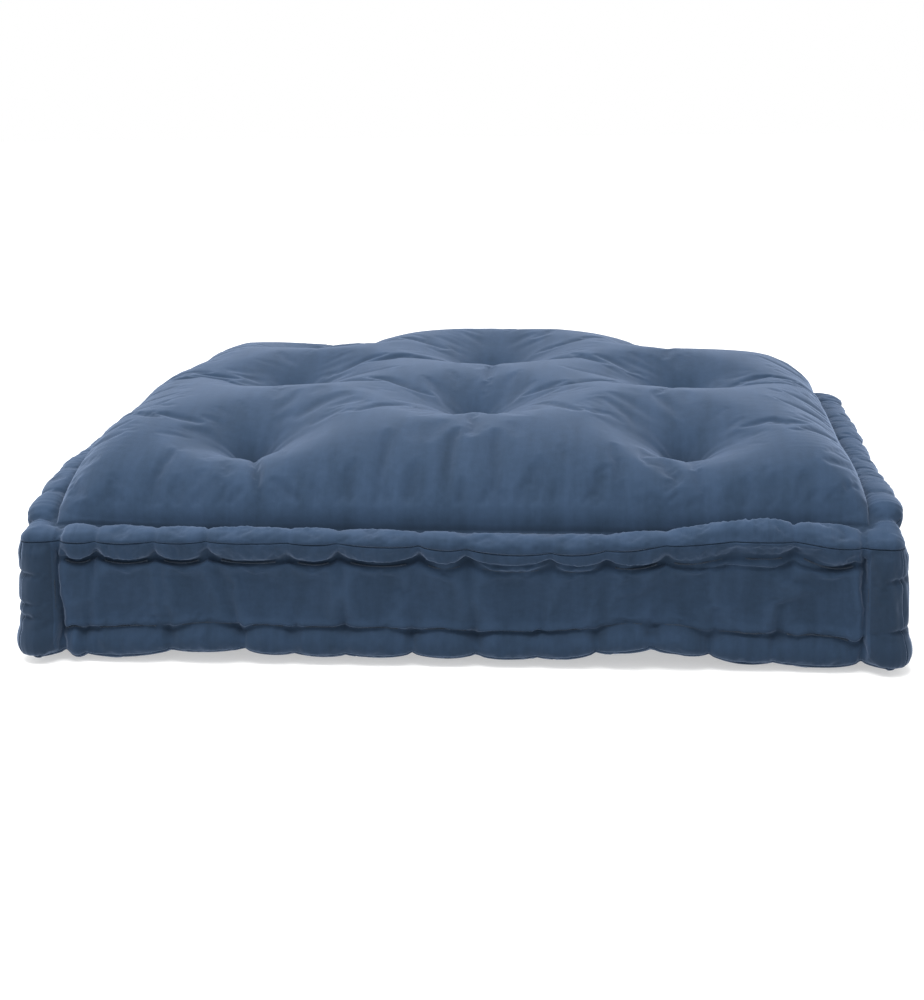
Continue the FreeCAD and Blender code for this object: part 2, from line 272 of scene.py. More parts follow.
@dataclass
class CoverShape:
    """The cover as it is sewn and tied, before it swells: a place for each point of the cloth."""

    sizes: CushionSizes
    upper: dict[Side, PuckerRow]
    lower: dict[Side, PuckerRow]
    corner_pinches: dict[Side, tuple[float, ...]]
    furrows: tuple[Furrow, ...]
    pinch: float = 5.6 * MM
    crease_depth: float = 9 * MM
    crease_width: float = 7 * MM
    crown_lap: float = 17 * MM
    crown_base: float = 7 * MM
    crown_square: float = 5.2
    crown_steep: float = 0.5
    crown_gain: float = 0.96
    crown_tilt: float = 0.22
    tuft_pulls: tuple[float, ...] = (1.0, 1.0, 0.85, 0.85, 1.15, 1.0, 1.15, 1.1)
    face_puff: float = 3 * MM
    neck_depth: float = 3 * MM
    neck_width: float = 4 * MM
    upright_depth: float = 11 * MM
    upright_width: float = 6 * MM
    valley_depth: float = 6 * MM
    valley_width: float = 7 * MM
    scallop_depth: float = 6 * MM
    scallop_width: float = 13 * MM
    bulb_swell: float = 4 * MM
    corner_pinch: float = 4.5 * MM
    corner_pinch_width: float = 3 * MM
    pit_depth: float = 57 * MM
    pit_shapes: tuple[Dimple, ...] = (Dimple(0.66, 28 * MM, 1.15), Dimple(0.34, 74 * MM, 1.7))
    under_pit: Dimple = Dimple(13 * MM, 32 * MM, 1.3)

    def spread(self, cells: int) -> Grid:
        """Lines across a face panel, evenly spaced over the cloth of its plain cross-section.

        Args:
            cells: how many squares from seam to seam.

        Returns:
            For each line its distance from the middle, in plan as far as the roll's crest and then
            over the cloth to the seam.
        """
        s = self.sizes
        place = np.linspace(0, s.roll_line, 4000)
        bare = (s.crown_top - s.upper_seam) * self._bulk(place) ** self.crown_steep
        roll = np.sqrt(np.maximum(s.roll_radius**2 - (s.roll_line - place) ** 2, 0))
        length = np.hypot(np.diff(place), np.diff(np.maximum(bare, roll)))
        length = np.concatenate([[0], np.cumsum(length)])
        length, place = np.append(length, length[-1] + s.rim), np.append(place, s.roll_line + s.rim)
        even = np.linspace(-length[-1], length[-1], cells + 1)
        return np.sign(even) * np.interp(np.abs(even), length, place)

    def _bulk(self, place: Grid) -> Grid:
        """1 over most of the crown, falling to 0 at its edge."""
        edge = self.sizes.roll_line - self.crown_lap
        return 1 - np.clip(np.abs(place) / edge, 0, 1) ** self.crown_square

    def radius(self, row: PuckerRow, along: Grid) -> Grid:
        """The roll's radius along its length, drawn in at each stitch.

        Args:
            row: the roll's stitches.
            along: distances along the cloth from the side's middle.

        Returns:
            A radius for each.
        """
        beside_corner = np.exp(-(((np.abs(along) - row.crease) / self.crease_width) ** 2))
        pinched = self.pinch * row.pull(along) * (1 - row.bulge(along))
        return self.sizes.roll_radius - np.maximum(pinched, self.crease_depth * beside_corner)

    def crown(self, x: Grid, y: Grid) -> Grid:
        """Height of the crown above the upper seam, with its pits and furrows.

        Args:
            x: distance from the middle along X.
            y: the same along Y.

        Returns:
            A height for each point.
        """
        s = self.sizes
        rise = s.crown_top - s.upper_seam - self.crown_base
        bank = (self._bulk(x) ** 0.8 * self._bulk(y)) ** self.crown_steep
        height = rise * bank * (self.crown_gain - self.crown_tilt * y) + self.crown_base
        for (tuft_x, tuft_y), pull in zip(s.tufts, self.tuft_pulls):
            away = np.hypot(x - tuft_x, y - tuft_y)
            height = height - self.pit_depth * sum(shape.at(away) for shape in self.pit_shapes) * pull
        for furrow in self.furrows:
            (ax, ay), (bx, by) = furrow.start, furrow.end
            length2 = (bx - ax) ** 2 + (by - ay) ** 2
            share = np.clip(((x - ax) * (bx - ax) + (y - ay) * (by - ay)) / length2, 0, 1)
            away = np.hypot(x - ax - share * (bx - ax), y - ay - share * (by - ay))
            fade = np.sin(np.pi * np.clip(share * 0.8 + 0.15, 0, 1))
            height = height - furrow.depth * fade * np.exp(-((away / furrow.width) ** 1.3))
        return height

    def _edges(self, rows: dict[Side, PuckerRow], u: Grid, v: Grid) -> list[tuple[Grid, Grid]]:
        """Radius and drift of the rolls that run along X and along Y, for each point of a panel.

        Args:
            rows: the four pucker rows of that panel's rolls.
            u: the distance from the middle along X, as spread gives it.
            v: the same along Y.

        Returns:
            A pair for the rolls along X, front and back, and a pair for those along Y.
        """
        pairs = []
        for low, high, place, across in ((Side.FRONT, Side.BACK, u, v), (Side.LEFT, Side.RIGHT, v, u)):
            low_along, high_along = (place, -place) if low is Side.FRONT else (-place, place)
            before = across < 0
            low_radius, high_radius = self.radius(rows[low], low_along), self.radius(rows[high], high_along)
            radius = np.where(before, low_radius, high_radius)
            drift = np.where(before, rows[low].drift(low_along), rows[high].drift(high_along))
            pairs.append((radius, drift))
        return pairs

    def face_panel(self, u: Grid, v: Grid, top: bool) -> Grid:
        """Places on the top or bottom panel.

        Args:
            u: distance from the middle along X, as spread gives it.
            v: the same along Y.
            top: whether the top panel is meant.

        Returns:
            One place for each point.
        """
        s = self.sizes
        rows = self.upper if top else self.lower
        x, y = [np.clip(place, -s.roll_line, s.roll_line) for place in (u, v)]
        over_x, over_y = np.abs(u) - np.abs(x), np.abs(v) - np.abs(y)
        over = np.maximum(over_x, over_y)
        part = np.divide(np.minimum(over_x, over_y), over, out=np.zeros_like(over), where=over > 0)
        along_x = np.sign(u) * (np.abs(x) + np.where(over_x > 0, s.rim * part, 0))
        along_y = np.sign(v) * (np.abs(y) + np.where(over_y > 0, s.rim * part, 0))
        (radius_x, drift_x), (radius_y, drift_y) = self._edges(rows, along_x, along_y)
        lies = [np.sqrt(np.maximum(radius**2 - (s.roll_line - np.abs(place)) ** 2, 0))
                for radius, place in ((radius_x, y), (radius_y, x))]
        sign = 1 if top else -1
        rolls = smooth_max(lies[0] + sign * drift_x * (lies[0] > 0),
                           lies[1] + sign * drift_y * (lies[1] > 0), 2 * MM)
        middle = self.crown(x, y) if top else self.belly(x, y)
        flat_height = smooth_max(rolls, middle, 4 * MM)
        side_on = over_y >= over_x
        radius, drift = np.where(side_on, radius_x, radius_y), np.where(side_on, drift_x, drift_y)
        lean = part * math.pi / 4
        swing_x = np.where(side_on, np.sin(lean), np.cos(lean)) * np.sign(u)
        swing_y = np.where(side_on, np.cos(lean), np.sin(lean)) * np.sign(v)
        climb = (1 - over / s.rim) * math.pi / 2
        out = np.where(over > 0, radius * np.cos(climb), 0)
        height = np.where(over > 0, sign * drift + radius * np.sin(climb), flat_height)
        seam = s.upper_seam if top else s.lower_seam
        z = seam + height if top else np.maximum(seam - height, 0)
        return np.stack([x + swing_x * out, y + swing_y * out, z], axis=-1)

    def belly(self, x: Grid, y: Grid) -> Grid:
        """How far the underside hangs below the lower seam: flat on the floor, but for its pits.

        Args:
            x: distance from the middle along X.
            y: the same along Y.

        Returns:
            A depth for each point.
        """
        s = self.sizes
        edge = s.roll_line - self.crown_lap
        width = [1 - np.clip(np.abs(place) / edge, 0, 1) ** 9 for place in (x, y)]
        depth = s.lower_seam * 1.06 * (width[0] * width[1]) ** 0.4
        for tuft_x, tuft_y in s.tufts:
            depth = depth - self.under_pit.at(np.hypot(x - tuft_x, y - tuft_y))
        return depth

    def falls(self, count: int) -> Grid:
        """Heights down a side panel, as fractions, evenly spaced over the cloth.

        Args:
            count: how many squares from seam to seam.

        Returns:
            For each line, 0 at the upper seam and 1 at the lower.
        """
        s = self.sizes
        z = np.linspace(s.upper_seam, s.lower_seam, 600)
        profile = np.maximum(np.sqrt(np.maximum(s.roll_radius**2 - (s.upper_seam - z) ** 2, 0)),
                             np.sqrt(np.maximum(s.roll_radius**2 - (z - s.lower_seam) ** 2, 0)))
        profile = np.maximum(profile, s.face_half - s.roll_line)
        length = np.concatenate([[0], np.cumsum(np.hypot(np.diff(z), np.diff(profile)))])
        return np.interp(np.linspace(0, length[-1], count + 1), length, np.linspace(0, 1, len(z)))

    def side_panel(self, side: Side, along: Grid, fall: Grid) -> Grid:
        """Places on a side panel.

        Args:
            side: which panel.
            along: distance from the panel's middle, as spread gives it.
            fall: 0 at the upper seam and 1 at the lower.

        Returns:
            One place for each point.
        """
        s = self.sizes
        upper, lower = self.upper[side], self.lower[side]
        flat = np.clip(along, -s.roll_line, s.roll_line)
        lean = (np.abs(along) - np.abs(flat)) / s.rim * math.pi / 4 * np.sign(along)
        top_radius, low_radius = self.radius(upper, along), self.radius(lower, along)
        top_z, low_z = s.upper_seam + upper.drift(along), s.lower_seam + lower.drift(along)
        z = top_z + (low_z - top_z) * fall
        above = np.sqrt(np.maximum(top_radius**2 - (top_z - z) ** 2, 0))
        below = np.sqrt(np.maximum(low_radius**2 - (z - low_z) ** 2, 0))
        face = s.face_half - s.roll_line + self._face_relief(upper, lower, along, fall)
        corner = s.roll_radius + self.bulb_swell * (1.3 - 0.8 * z / s.upper_seam)
        corner = corner - self._corner_relief(side, along, z)
        inside = s.roll_line - np.abs(flat)
        post = np.sqrt(np.maximum(corner**2 - inside**2, 0))
        out = smooth_max(smooth_max(above, below, 1 * MM), smooth_max(face, post, 2 * MM), 2 * MM)
        ends = np.clip(np.minimum(fall, 1 - fall) / 0.1, 0, 1)
        ends = ends * ends * (3 - 2 * ends)
        out = out * ends + np.where(fall < 0.5, top_radius, low_radius) * (1 - ends)
        places = np.stack([flat + np.sin(lean) * out, -s.roll_line - np.cos(lean) * out, z], axis=-1)
        return turn(places, side)

    def _face_relief(self, upper: PuckerRow, lower: PuckerRow, along: Grid, fall: Grid) -> Grid:
        """Soft upright creases of a side face, from each upper stitch to the one below it.

        Args:
            upper: the stitches of the roll above.
            lower: those of the roll below.
            along: distance from the panel's middle.
            fall: 0 at the upper seam and 1 at the lower.

        Returns:
            How far the face stands out at each point.
        """
        s = self.sizes
        relief = self.face_puff * np.sin(np.pi * np.clip(fall, 0, 1))
        drop = s.groove_drop / s.edge_height
        depth = s.edge_height * np.abs(np.minimum(fall, 1 - fall) - drop)
        relief = relief - self.neck_depth * np.exp(-((depth / self.neck_width) ** 2))
        bent = 2 * MM * np.sin(2 * np.pi * fall) * np.sign(along)
        upright = np.abs(np.abs(along) - (s.roll_line - s.groove_drop) + bent)
        relief = relief - self.upright_depth * np.exp(-((upright / self.upright_width) ** 2))
        for number, (top, low) in enumerate(zip(upper.places, lower.places)):
            line = top + (low - top) * fall
            depth = self.valley_depth * upper.depths[number + 2] * (1 - 0.6 * np.sin(np.pi * fall))
            relief = relief - depth * np.exp(-((np.abs(along - line) / self.valley_width) ** 1.2))
        return relief

    def scallop(self, side: Side, along: Grid, height: Grid) -> Grid:
        """How far a side panel's cloth is drawn up or down beside its rolls.

        Args:
            side: which panel.
            along: distance from the panel's middle, as spread gives it.
            height: the cloth's height.

        Returns:
            The rise at each point: up below the upper roll's stitches, down above the lower roll's.
        """
        s = self.sizes
        rise = np.zeros_like(height)
        for row, line, way in ((self.upper[side], s.upper_seam - s.groove_drop, 1),
                               (self.lower[side], s.lower_seam + s.groove_drop, -1)):
            inner = np.clip((row.crease - np.abs(along)) / (10 * MM), 0, 1)
            draw = row.pull(along) * (1 - row.bulge(along, 0.75)) - 0.3
            near = np.exp(-(((height - line) / self.scallop_width) ** 2))
            rise += way * self.scallop_depth * draw * inner * near
        return rise

    def _corner_relief(self, side: Side, along: Grid, z: Grid) -> Grid:
        """Pinches round an upright corner roll; the two panels that share it have the same.

        Args:
            side: which panel.
            along: distance from the panel's middle, as spread gives it.
            z: the cloth's height.

        Returns:
            How deep the roll is drawn in at each point, on its outer side only.
        """
        relief = np.zeros_like(z)
        outer = np.clip((np.abs(along) - self.sizes.roll_line + 8 * MM) / (22 * MM), 0, 1)
        for right in (False, True):
            owner = Side((side.value + 1) % 4) if right else side
            here = (along > 0) == right
            for height in self.corner_pinches[owner]:
                pinch = np.exp(-((np.abs(z - height) / self.corner_pinch_width) ** 1.2))
                relief = relief + np.where(here, self.corner_pinch * pinch * outer, 0)
        return relief


# ------------ cover's meshes
@dataclass
class CoverNet:
    """The cover's cloth as six welded nets of squares."""

    shape: CoverShape
    cells: int = 200
    rows: int = 38

    def __post_init__(self) -> None:
        """Lays out the nets and numbers their shared points."""
        self.across = self.shape.spread(self.cells)
        self.falls = self.shape.falls(self.rows)
        n, k = self.cells + 1, self.rows
        count = n * n
        self.top_ids = np.arange(count).reshape(n, n)
        self.bottom_ids = np.arange(count, 2 * count).reshape(n, n)
        self.side_ids: dict[Side, Grid] = {}
        count *= 2
        for side in Side:
            grid = np.empty((k + 1, n), dtype=int)
            grid[0], grid[k] = self.border(self.top_ids, side), self.border(self.bottom_ids, side)
            grid[1:k, :-1] = np.arange(count, count + (k - 1) * (n - 1)).reshape(k - 1, n - 1)
            count += (k - 1) * (n - 1)
            self.side_ids[side] = grid
        for side in Side:
            following = self.side_ids[Side((side.value + 1) % 4)]
            self.side_ids[side][1:k, -1] = following[1:k, 0]
        self.count = count

    @staticmethod
    def border(grid: Grid, side: Side) -> Grid:
        """A face net's border along one side.

        Args:
            grid: the net.
            side: which side.

        Returns:
            The border from left to right, as seen from outside.
        """
        return {Side.FRONT: grid[:, 0], Side.RIGHT: grid[-1, :], Side.BACK: grid[::-1, -1],
                Side.LEFT: grid[0, ::-1]}[side]

    def points(self) -> Grid:
        """Every point's place before the cover swells.

        Returns:
            One place a row.
        """
        places = np.zeros((self.count, 3))
        u, v = np.meshgrid(self.across, self.across, indexing="ij")
        for side in Side:
            along, fall = np.meshgrid(self.across, self.falls)
            places[self.side_ids[side]] = self.shape.side_panel(side, along, fall)
        places[self.top_ids] = self.shape.face_panel(u, v, True)
        places[self.bottom_ids] = self.shape.face_panel(u, v, False)
        return places

    def faces(self) -> Grid:
        """All squares.

        Returns:
            Four point numbers a row, for squares that face outwards.
        """
        parts = [squares(self.top_ids), squares(self.bottom_ids)[:, ::-1]]
        parts += [squares(grid)[:, ::-1] for grid in self.side_ids.values()]
        return np.concatenate(parts)


def squares(ids: Grid) -> Grid:
    """The squares of a net, anticlockwise when rows run to the right and columns away."""
    return np.stack([ids[:-1, :-1], ids[1:, :-1], ids[1:, 1:], ids[:-1, 1:]], axis=-1).reshape(-1, 4)


def mesh_piece(name: str, points: Grid, faces: Grid) -> bpy.types.Object:
    """A new smooth-shaded mesh object.

    Args:
        name: the object's name.
        points: one place a row.
        faces: four point numbers a row.

    Returns:
        The object, linked into the scene.
    """
    mesh = bpy.data.meshes.new(name)
    mesh.vertices.add(len(points))
    mesh.vertices.foreach_set("co", np.ascontiguousarray(points, dtype=np.float32).ravel())
    mesh.loops.add(faces.size)
    mesh.loops.foreach_set("vertex_index", np.ascontiguousarray(faces, dtype=np.int32).ravel())
    mesh.polygons.add(len(faces))
    mesh.polygons.foreach_set("loop_start", np.arange(0, faces.size, faces.shape[1], dtype=np.int32))
    mesh.polygons.foreach_set("use_smooth", np.ones(len(faces), dtype=bool))
    mesh.update(calc_edges=True)
    mesh.validate()
    piece = bpy.data.objects.new(name, mesh)
    bpy.context.scene.collection.objects.link(piece)
    return piece


# ------------ swelling
@dataclass(frozen=True)
class Swelling:
    """The cloth simulation that fills the cover out and gathers it at its stitches."""

    frames: int = 18
    pressure: float = 3.5
    calm_growth: float = 0.012
    gathered_growth: float = 0.07
    most: float = 13 * MM
    roll_share: float = 0.25
    groove_inset: float = 17 * MM
    strip: float = 60 * MM
    tuft_hold: float = 7 * MM
    hold_width: float = 2.4 * MM
    bank_hold: float = 11 * MM
    bank_reach: float = 28 * MM
    tuft_reach: float = 35 * MM
    gathers: float = 0.6

    def run(self, net: CoverNet, points: Grid) -> Grid:
        """Swells the cover.

        Args:
            net: the cover's nets.
            points: the places before.

        Returns:
            The places after, none further off than the cloth's limit.
        """
        held, gathered = self.holds(net, points)
        faces = net.faces()
        keep = self.worked(net)
        faces = faces[np.all(keep[faces], axis=1)]
        used, renumbered = np.unique(faces, return_inverse=True)
        piece = mesh_piece("swelling", points[used], renumbered.reshape(-1, 4))
        self._group(piece, "held", held[used])
        self._group(piece, "gathered", gathered[used])
        self._cotton(piece)
        scene = bpy.context.scene
        for step in range(1, self.frames + 1):
            scene.frame_set(step)
        swollen = piece.evaluated_get(bpy.context.evaluated_depsgraph_get()).data
        after = np.empty(len(used) * 3, dtype=np.float32)
        swollen.vertices.foreach_get("co", after)
        moved = after.reshape(-1, 3) - points[used]
        length = np.linalg.norm(moved, axis=1, keepdims=True)
        moved *= np.minimum(1, self.most / np.maximum(length, 1e-9))
        result = points.copy()
        result[used] += moved
        result[:, 2] = np.maximum(result[:, 2], 0)
        bpy.data.objects.remove(piece)
        scene.frame_set(1)
        LOG.info("swelling: %d points, furthest %.1f mm", len(used), length.max() / MM)
        return result

    def _cotton(self, piece: bpy.types.Object) -> None:
        """Makes a piece behave as cotton cloth with the filling pressing from inside.

        Args:
            piece: the cover, with its groups for where it is held and gathered.
        """
        cloth = piece.modifiers.new("cloth", "CLOTH")
        cloth.point_cache.frame_start = 1
        cloth.point_cache.frame_end = self.frames
        cotton = cloth.settings
        cotton.quality = 5
        cotton.mass = 0.25
        cotton.tension_stiffness = cotton.compression_stiffness = 18
        cotton.shear_stiffness = 6
        cotton.bending_stiffness = 1.2
        cotton.use_pressure = True
        cotton.uniform_pressure_force = self.pressure
        cotton.vertex_group_mass = "held"
        cotton.vertex_group_shrink = "gathered"
        cotton.shrink_min = -self.calm_growth
        cotton.shrink_max = -self.gathered_growth
        cotton.effector_weights.gravity = 0
        cloth.collision_settings.use_collision = False
        cloth.collision_settings.use_self_collision = False

    @staticmethod
    def _group(piece: bpy.types.Object, name: str, weights: Grid) -> None:
        """Adds a vertex group, with its weights rounded to fifteenths.

        Args:
            piece: the mesh.
            name: the group's name.
            weights: a weight from 0 to 1 for each point.
        """
        group = piece.vertex_groups.new(name=name)
        level = np.rint(np.clip(weights, 0, 1) * 15).astype(int)
        for step in range(1, 16):
            group.add(np.flatnonzero(level == step).tolist(), step / 15, "REPLACE")

    def worked(self, net: CoverNet) -> Grid:
        """Which points take part: all but the middle of the underside, which lies on the floor.

        Args:
            net: the cover's nets.

        Returns:
            True or False for each point.
        """
        keep = np.ones(net.count, dtype=bool)
        u, v = np.meshgrid(net.across, net.across, indexing="ij")
        middle = np.maximum(np.abs(u), np.abs(v)) < net.shape.sizes.reach - self.strip
        keep[net.bottom_ids[middle]] = False
        return keep

    def holds(self, net: CoverNet, points: Grid) -> tuple[Grid, Grid]:
        """Where the stitches hold the cloth, and where they gather it.

        Args:
            net: the cover's nets.
            points: their places.

        Returns:
            A weight from 0 to 1 for each point, held and gathered.
        """
        s = net.shape.sizes
        held, gathered = np.zeros(net.count), np.zeros(net.count)
        u, v = np.meshgrid(net.across, net.across, indexing="ij")
        inside = s.roll_line - np.maximum(np.abs(u), np.abs(v))
        beyond = inside - self.groove_inset
        groove = (beyond > -self.hold_width) & (beyond < self.bank_hold)
        near = np.exp(-np.maximum(beyond, 0) / self.bank_reach)
        near = np.where(inside < self.groove_inset, self.roll_share, near)
        tufted = np.full_like(u, 1.0)
        for x, y in s.tufts:
            tufted = np.minimum(tufted, np.hypot(u - x, v - y))
        held[net.top_ids] = np.maximum(groove, tufted < self.tuft_hold)
        gathered[net.top_ids] = np.maximum(near, self.gathers * np.exp(-tufted / self.tuft_reach))
        outer = s.reach - np.maximum(np.abs(u), np.abs(v))
        held[net.bottom_ids] = np.maximum(groove, outer > self.strip - 3 * self.hold_width)
        gathered[net.bottom_ids] = near
        along, fall = np.meshgrid(net.across, net.falls)
        for side in Side:
            ids = net.side_ids[side]
            height = points[ids][..., 2]
            drop = s.groove_drop
            top, low = net.shape.upper[side], net.shape.lower[side]
            inner = np.abs(along) < s.roll_line - drop
            lines = np.minimum(np.abs(height - (s.upper_seam + top.drift(along) - drop)),
                               np.abs(height - (s.lower_seam + low.drift(along) + drop)))
            upright = np.abs(np.abs(along) - (s.roll_line - drop)) < self.hold_width
            between = (height < s.upper_seam - drop) & (height > s.lower_seam + drop)
            stitched = ((lines < self.hold_width) & inner) | (upright & between)
            held[ids] = np.maximum(held[ids], stitched)
            gathered[ids] = np.where(between & inner, self.gathers, self.roll_share)
            held[ids[[0, -1]]] = 1
        return held, gathered


# ------------ sewn panels
def wavelets(rng: np.random.Generator, lengths: tuple[float, float],
             count: int = 9) -> Callable[[Grid], Grid]:
    """A fine unevenness along a line, as a sum of waves of random length and start.

    Args:
        rng: source of the lengths and starts.
        lengths: the shortest and the longest wave.
        count: how many waves.

    Returns:
        A function from places to heights of about -1 to 1.
    """
    turns = 2 * math.pi / rng.uniform(*lengths, count)
    starts = rng.uniform(0, 2 * math.pi, count)

    def height(place: Grid) -> Grid:
        """The unevenness at each place."""
        total = sum(np.sin(place * turning + start) for turning, start in zip(turns, starts))
        return total / math.sqrt(count / 2) * 0.6

    return height


def finer(grid: Grid, lines: Grid, axis: int) -> Grid:
    """A net's points taken at new lines along one axis, on smooth curves through the old ones.

    Args:
        grid: rows and columns of places.
        lines: the new lines, counted in the old ones.
        axis: 0 for new rows and 1 for new columns.

    Returns:
        The new net.
    """
    rows = np.swapaxes(grid, 0, axis)
    rows = np.concatenate([2 * rows[:1] - rows[1:2], rows, 2 * rows[-1:] - rows[-2:-1]])
    before = np.clip(np.floor(lines).astype(int), 0, len(rows) - 4)
    t = (lines - before).reshape(-1, *([1] * (rows.ndim - 1)))
    a, b, c, d = [rows[before + step] for step in range(4)]
    curve = b + 0.5 * t * (c - a + t * (2 * a - 5 * b + 4 * c - d + t * (3 * (b - c) + d - a)))
    return np.swapaxes(curve, 0, axis)


def outward_of(grid: Grid) -> Grid:
    """Unit normals of a net.

    Args:
        grid: places, in rows that run to the right and columns that run away.

    Returns:
        A normal for each place.
    """
    across, away = np.gradient(grid, axis=0), np.gradient(grid, axis=1)
    normal = np.cross(across, away)
    return normal / np.maximum(np.linalg.norm(normal, axis=-1, keepdims=True), 1e-12)


@dataclass
class Panels:
    """The six panels of the cover, parted along their seams, each with its own fine folds."""

    net: CoverNet
    points: Grid
    rng: np.random.Generator
    beside_seam: float = 0.2
    seam_depth: float = 2.2 * MM
    hem: float = 7 * MM
    roll_folds: float = 0.4 * MM
    crown_folds: float = 0.22 * MM
    tuft_folds: float = 0.8 * MM
    face_folds: float = 0.3 * MM
    tuck_depth: float = 3.8 * MM
    tuck_width: float = 2.2 * MM
    upper_tuck: float = 1.0
    lower_tuck: float = 0.25
    # painted shade on the upright rolls: how far their fold value is set below the rest, which darkens them
    # towards the shade colour
    upright_painted_shade: float = 1.5
    roll_waves: tuple[float, float] = (5 * MM, 11 * MM)
    side_roll_waves: tuple[float, float] = (5 * MM, 12 * MM)
    crown_waves: tuple[float, float] = (6 * MM, 16 * MM)
    slant_waves: tuple[float, float] = (60 * MM, 200 * MM)
    face_waves: tuple[float, float] = (14 * MM, 40 * MM)
    crown_reach: float = 45 * MM
    tuft_reach: float = 34 * MM
    tuft_bare: float = 14 * MM
    tuft_spokes: tuple[int, ...] = (7, 11, 16)

    def _lines(self, count: int, fine: bool) -> Grid:
        """Lines for a finished net: halves of the old squares, and one close beside each seam.

        Args:
            count: how many squares the old net has.
            fine: whether the squares are halved.

        Returns:
            The lines, counted in the old ones.
        """
        middle = np.arange(0.5 if fine else 1, count - 0.25, 0.5 if fine else 1)
        ends = [0, self.beside_seam]
        return np.array([*ends, *middle, count - self.beside_seam, count])

    def _inward(self, places: Grid) -> Grid:
        """The way from the seam straight into the rolls.

        Args:
            places: points of the seam.

        Returns:
            A unit vector for each.
        """
        line = self.net.shape.sizes.roll_line
        axis = np.clip(places[..., :2], -line, line)
        way = np.zeros_like(places)
        way[..., :2] = axis - places[..., :2]
        return way / np.maximum(np.linalg.norm(way, axis=-1, keepdims=True), 1e-12)

    def _sew(self, grid: Grid, lift: float) -> Grid:
        """Sinks a net's border into its seam and turns a hem in behind it.

        Args:
            grid: the panel's places.
            lift: how far the hem keeps to the panel's own side of the seam.

        Returns:
            The places with one more line all round.
        """
        border = np.zeros(grid.shape[:2], dtype=bool)
        border[[0, -1], :] = border[:, [0, -1]] = True
        inward = self._inward(grid)
        grid = np.where(border[..., None], grid + inward * self.seam_depth, grid)
        padded = np.pad(grid, ((1, 1), (1, 1), (0, 0)), mode="edge")
        ring = np.zeros(padded.shape[:2], dtype=bool)
        ring[[0, -1], :] = ring[:, [0, -1]] = True
        turned = padded + self._inward(padded) * self.hem + np.array([0, 0, lift])
        return np.where(ring[..., None], turned, padded)

    def _piece(self, name: str, grid: Grid, cloth: tuple[Grid, Grid], lift: float,
               extra_painted_shade: Grid | float = 0.0) -> bpy.types.Object:
        """A panel's mesh with its cloth map, and its fold values for rubbed wear on ridges and painted shade
        in folds.

        Args:
            name: the panel's name.
            grid: its places, rows to the right and columns away.
            cloth: distances over the cloth along each, for its map.
            lift: see _sew.
            extra_painted_shade: how much painted shade each place gets beyond its folds, as a lowering of its
                fold value.

        Returns:
            The piece.
        """
        # painted shade: places given extra painted shade have their fold value lowered, so they take the
        # darker shade colour
        bend = self._bend(grid) - extra_painted_shade
        sewn = self._sew(grid, lift)
        ids = np.arange(sewn.shape[0] * sewn.shape[1]).reshape(sewn.shape[:2])
        faces = squares(ids)
        edge = [len(ids) - 2, ids.shape[1] - 2]
        corners = [row * (edge[1] + 1) + column for row in (0, edge[0]) for column in (0, edge[1])]
        piece = mesh_piece(name, sewn.reshape(-1, 3), np.delete(faces, corners, axis=0))
        wide = [np.pad(line, 1, mode="edge") for line in cloth]
        lay = np.stack(np.meshgrid(*wide, indexing="ij"), axis=-1)
        corner_of = np.empty(len(piece.data.loops), dtype=np.int32)
        piece.data.loops.foreach_get("vertex_index", corner_of)
        chart = piece.data.uv_layers.new(name="cloth")
        chart.uv.foreach_set("vector", lay.reshape(-1, 2)[corner_of].astype(np.float32).ravel())
        # fold values for the cotton: ridges are lightened as rubbed wear, folds and pits get painted shade
        wear_and_shade = piece.data.attributes.new("wear_and_shade", "FLOAT", "POINT")
        wear_and_shade.data.foreach_set("value", np.pad(bend / MM, 1, mode="edge").astype(np.float32).ravel())
        return piece

    @staticmethod
    def _bend(grid: Grid) -> Grid:
        """How far each place stands out from the cloth round it.

        Args:
            grid: the panel's places.

        Returns:
            Above 0 on ridges and below it in folds, and 0 beside the seams.
        """
        bend = np.zeros(grid.shape[:2])
        normal = outward_of(grid)
        for axis in (0, 1):
            for reach in (4, 9):
                around = (np.roll(grid, reach, axis) + np.roll(grid, -reach, axis)) / 2 - grid
                bend -= np.sum(around * normal, axis=-1) / reach
        bend[:9], bend[-9:], bend[:, :9], bend[:, -9:] = 0, 0, 0, 0
        for _ in range(4):
            for axis in (0, 1):
                bend = (np.roll(bend, 1, axis) + 2 * bend + np.roll(bend, -1, axis)) / 4
        return bend

    def face_panel(self, name: str, top: bool) -> bpy.types.Object:
        """The top or bottom panel.

        Args:
            name: its name.
            top: whether the top panel is meant.

        Returns:
            The piece.
        """
        net, s = self.net, self.net.shape.sizes
        lines = self._lines(net.cells, top)
        ids = net.top_ids if top else net.bottom_ids
        grid = finer(finer(self.points[ids], lines, 0), lines, 1)
        place = np.interp(lines, np.arange(len(net.across)), net.across)
        u, v = np.meshgrid(place, place, indexing="ij")
        if top:
            grid = grid + outward_of(grid) * self._top_folds(u, v)[..., None]
        length = np.interp(lines, [0, net.cells], [-s.reach, s.reach])
        if top:
            return self._piece(name, grid, (length, length), 0.8 * MM)
        return self._piece(name, grid[:, ::-1], (length, length), -0.8 * MM)

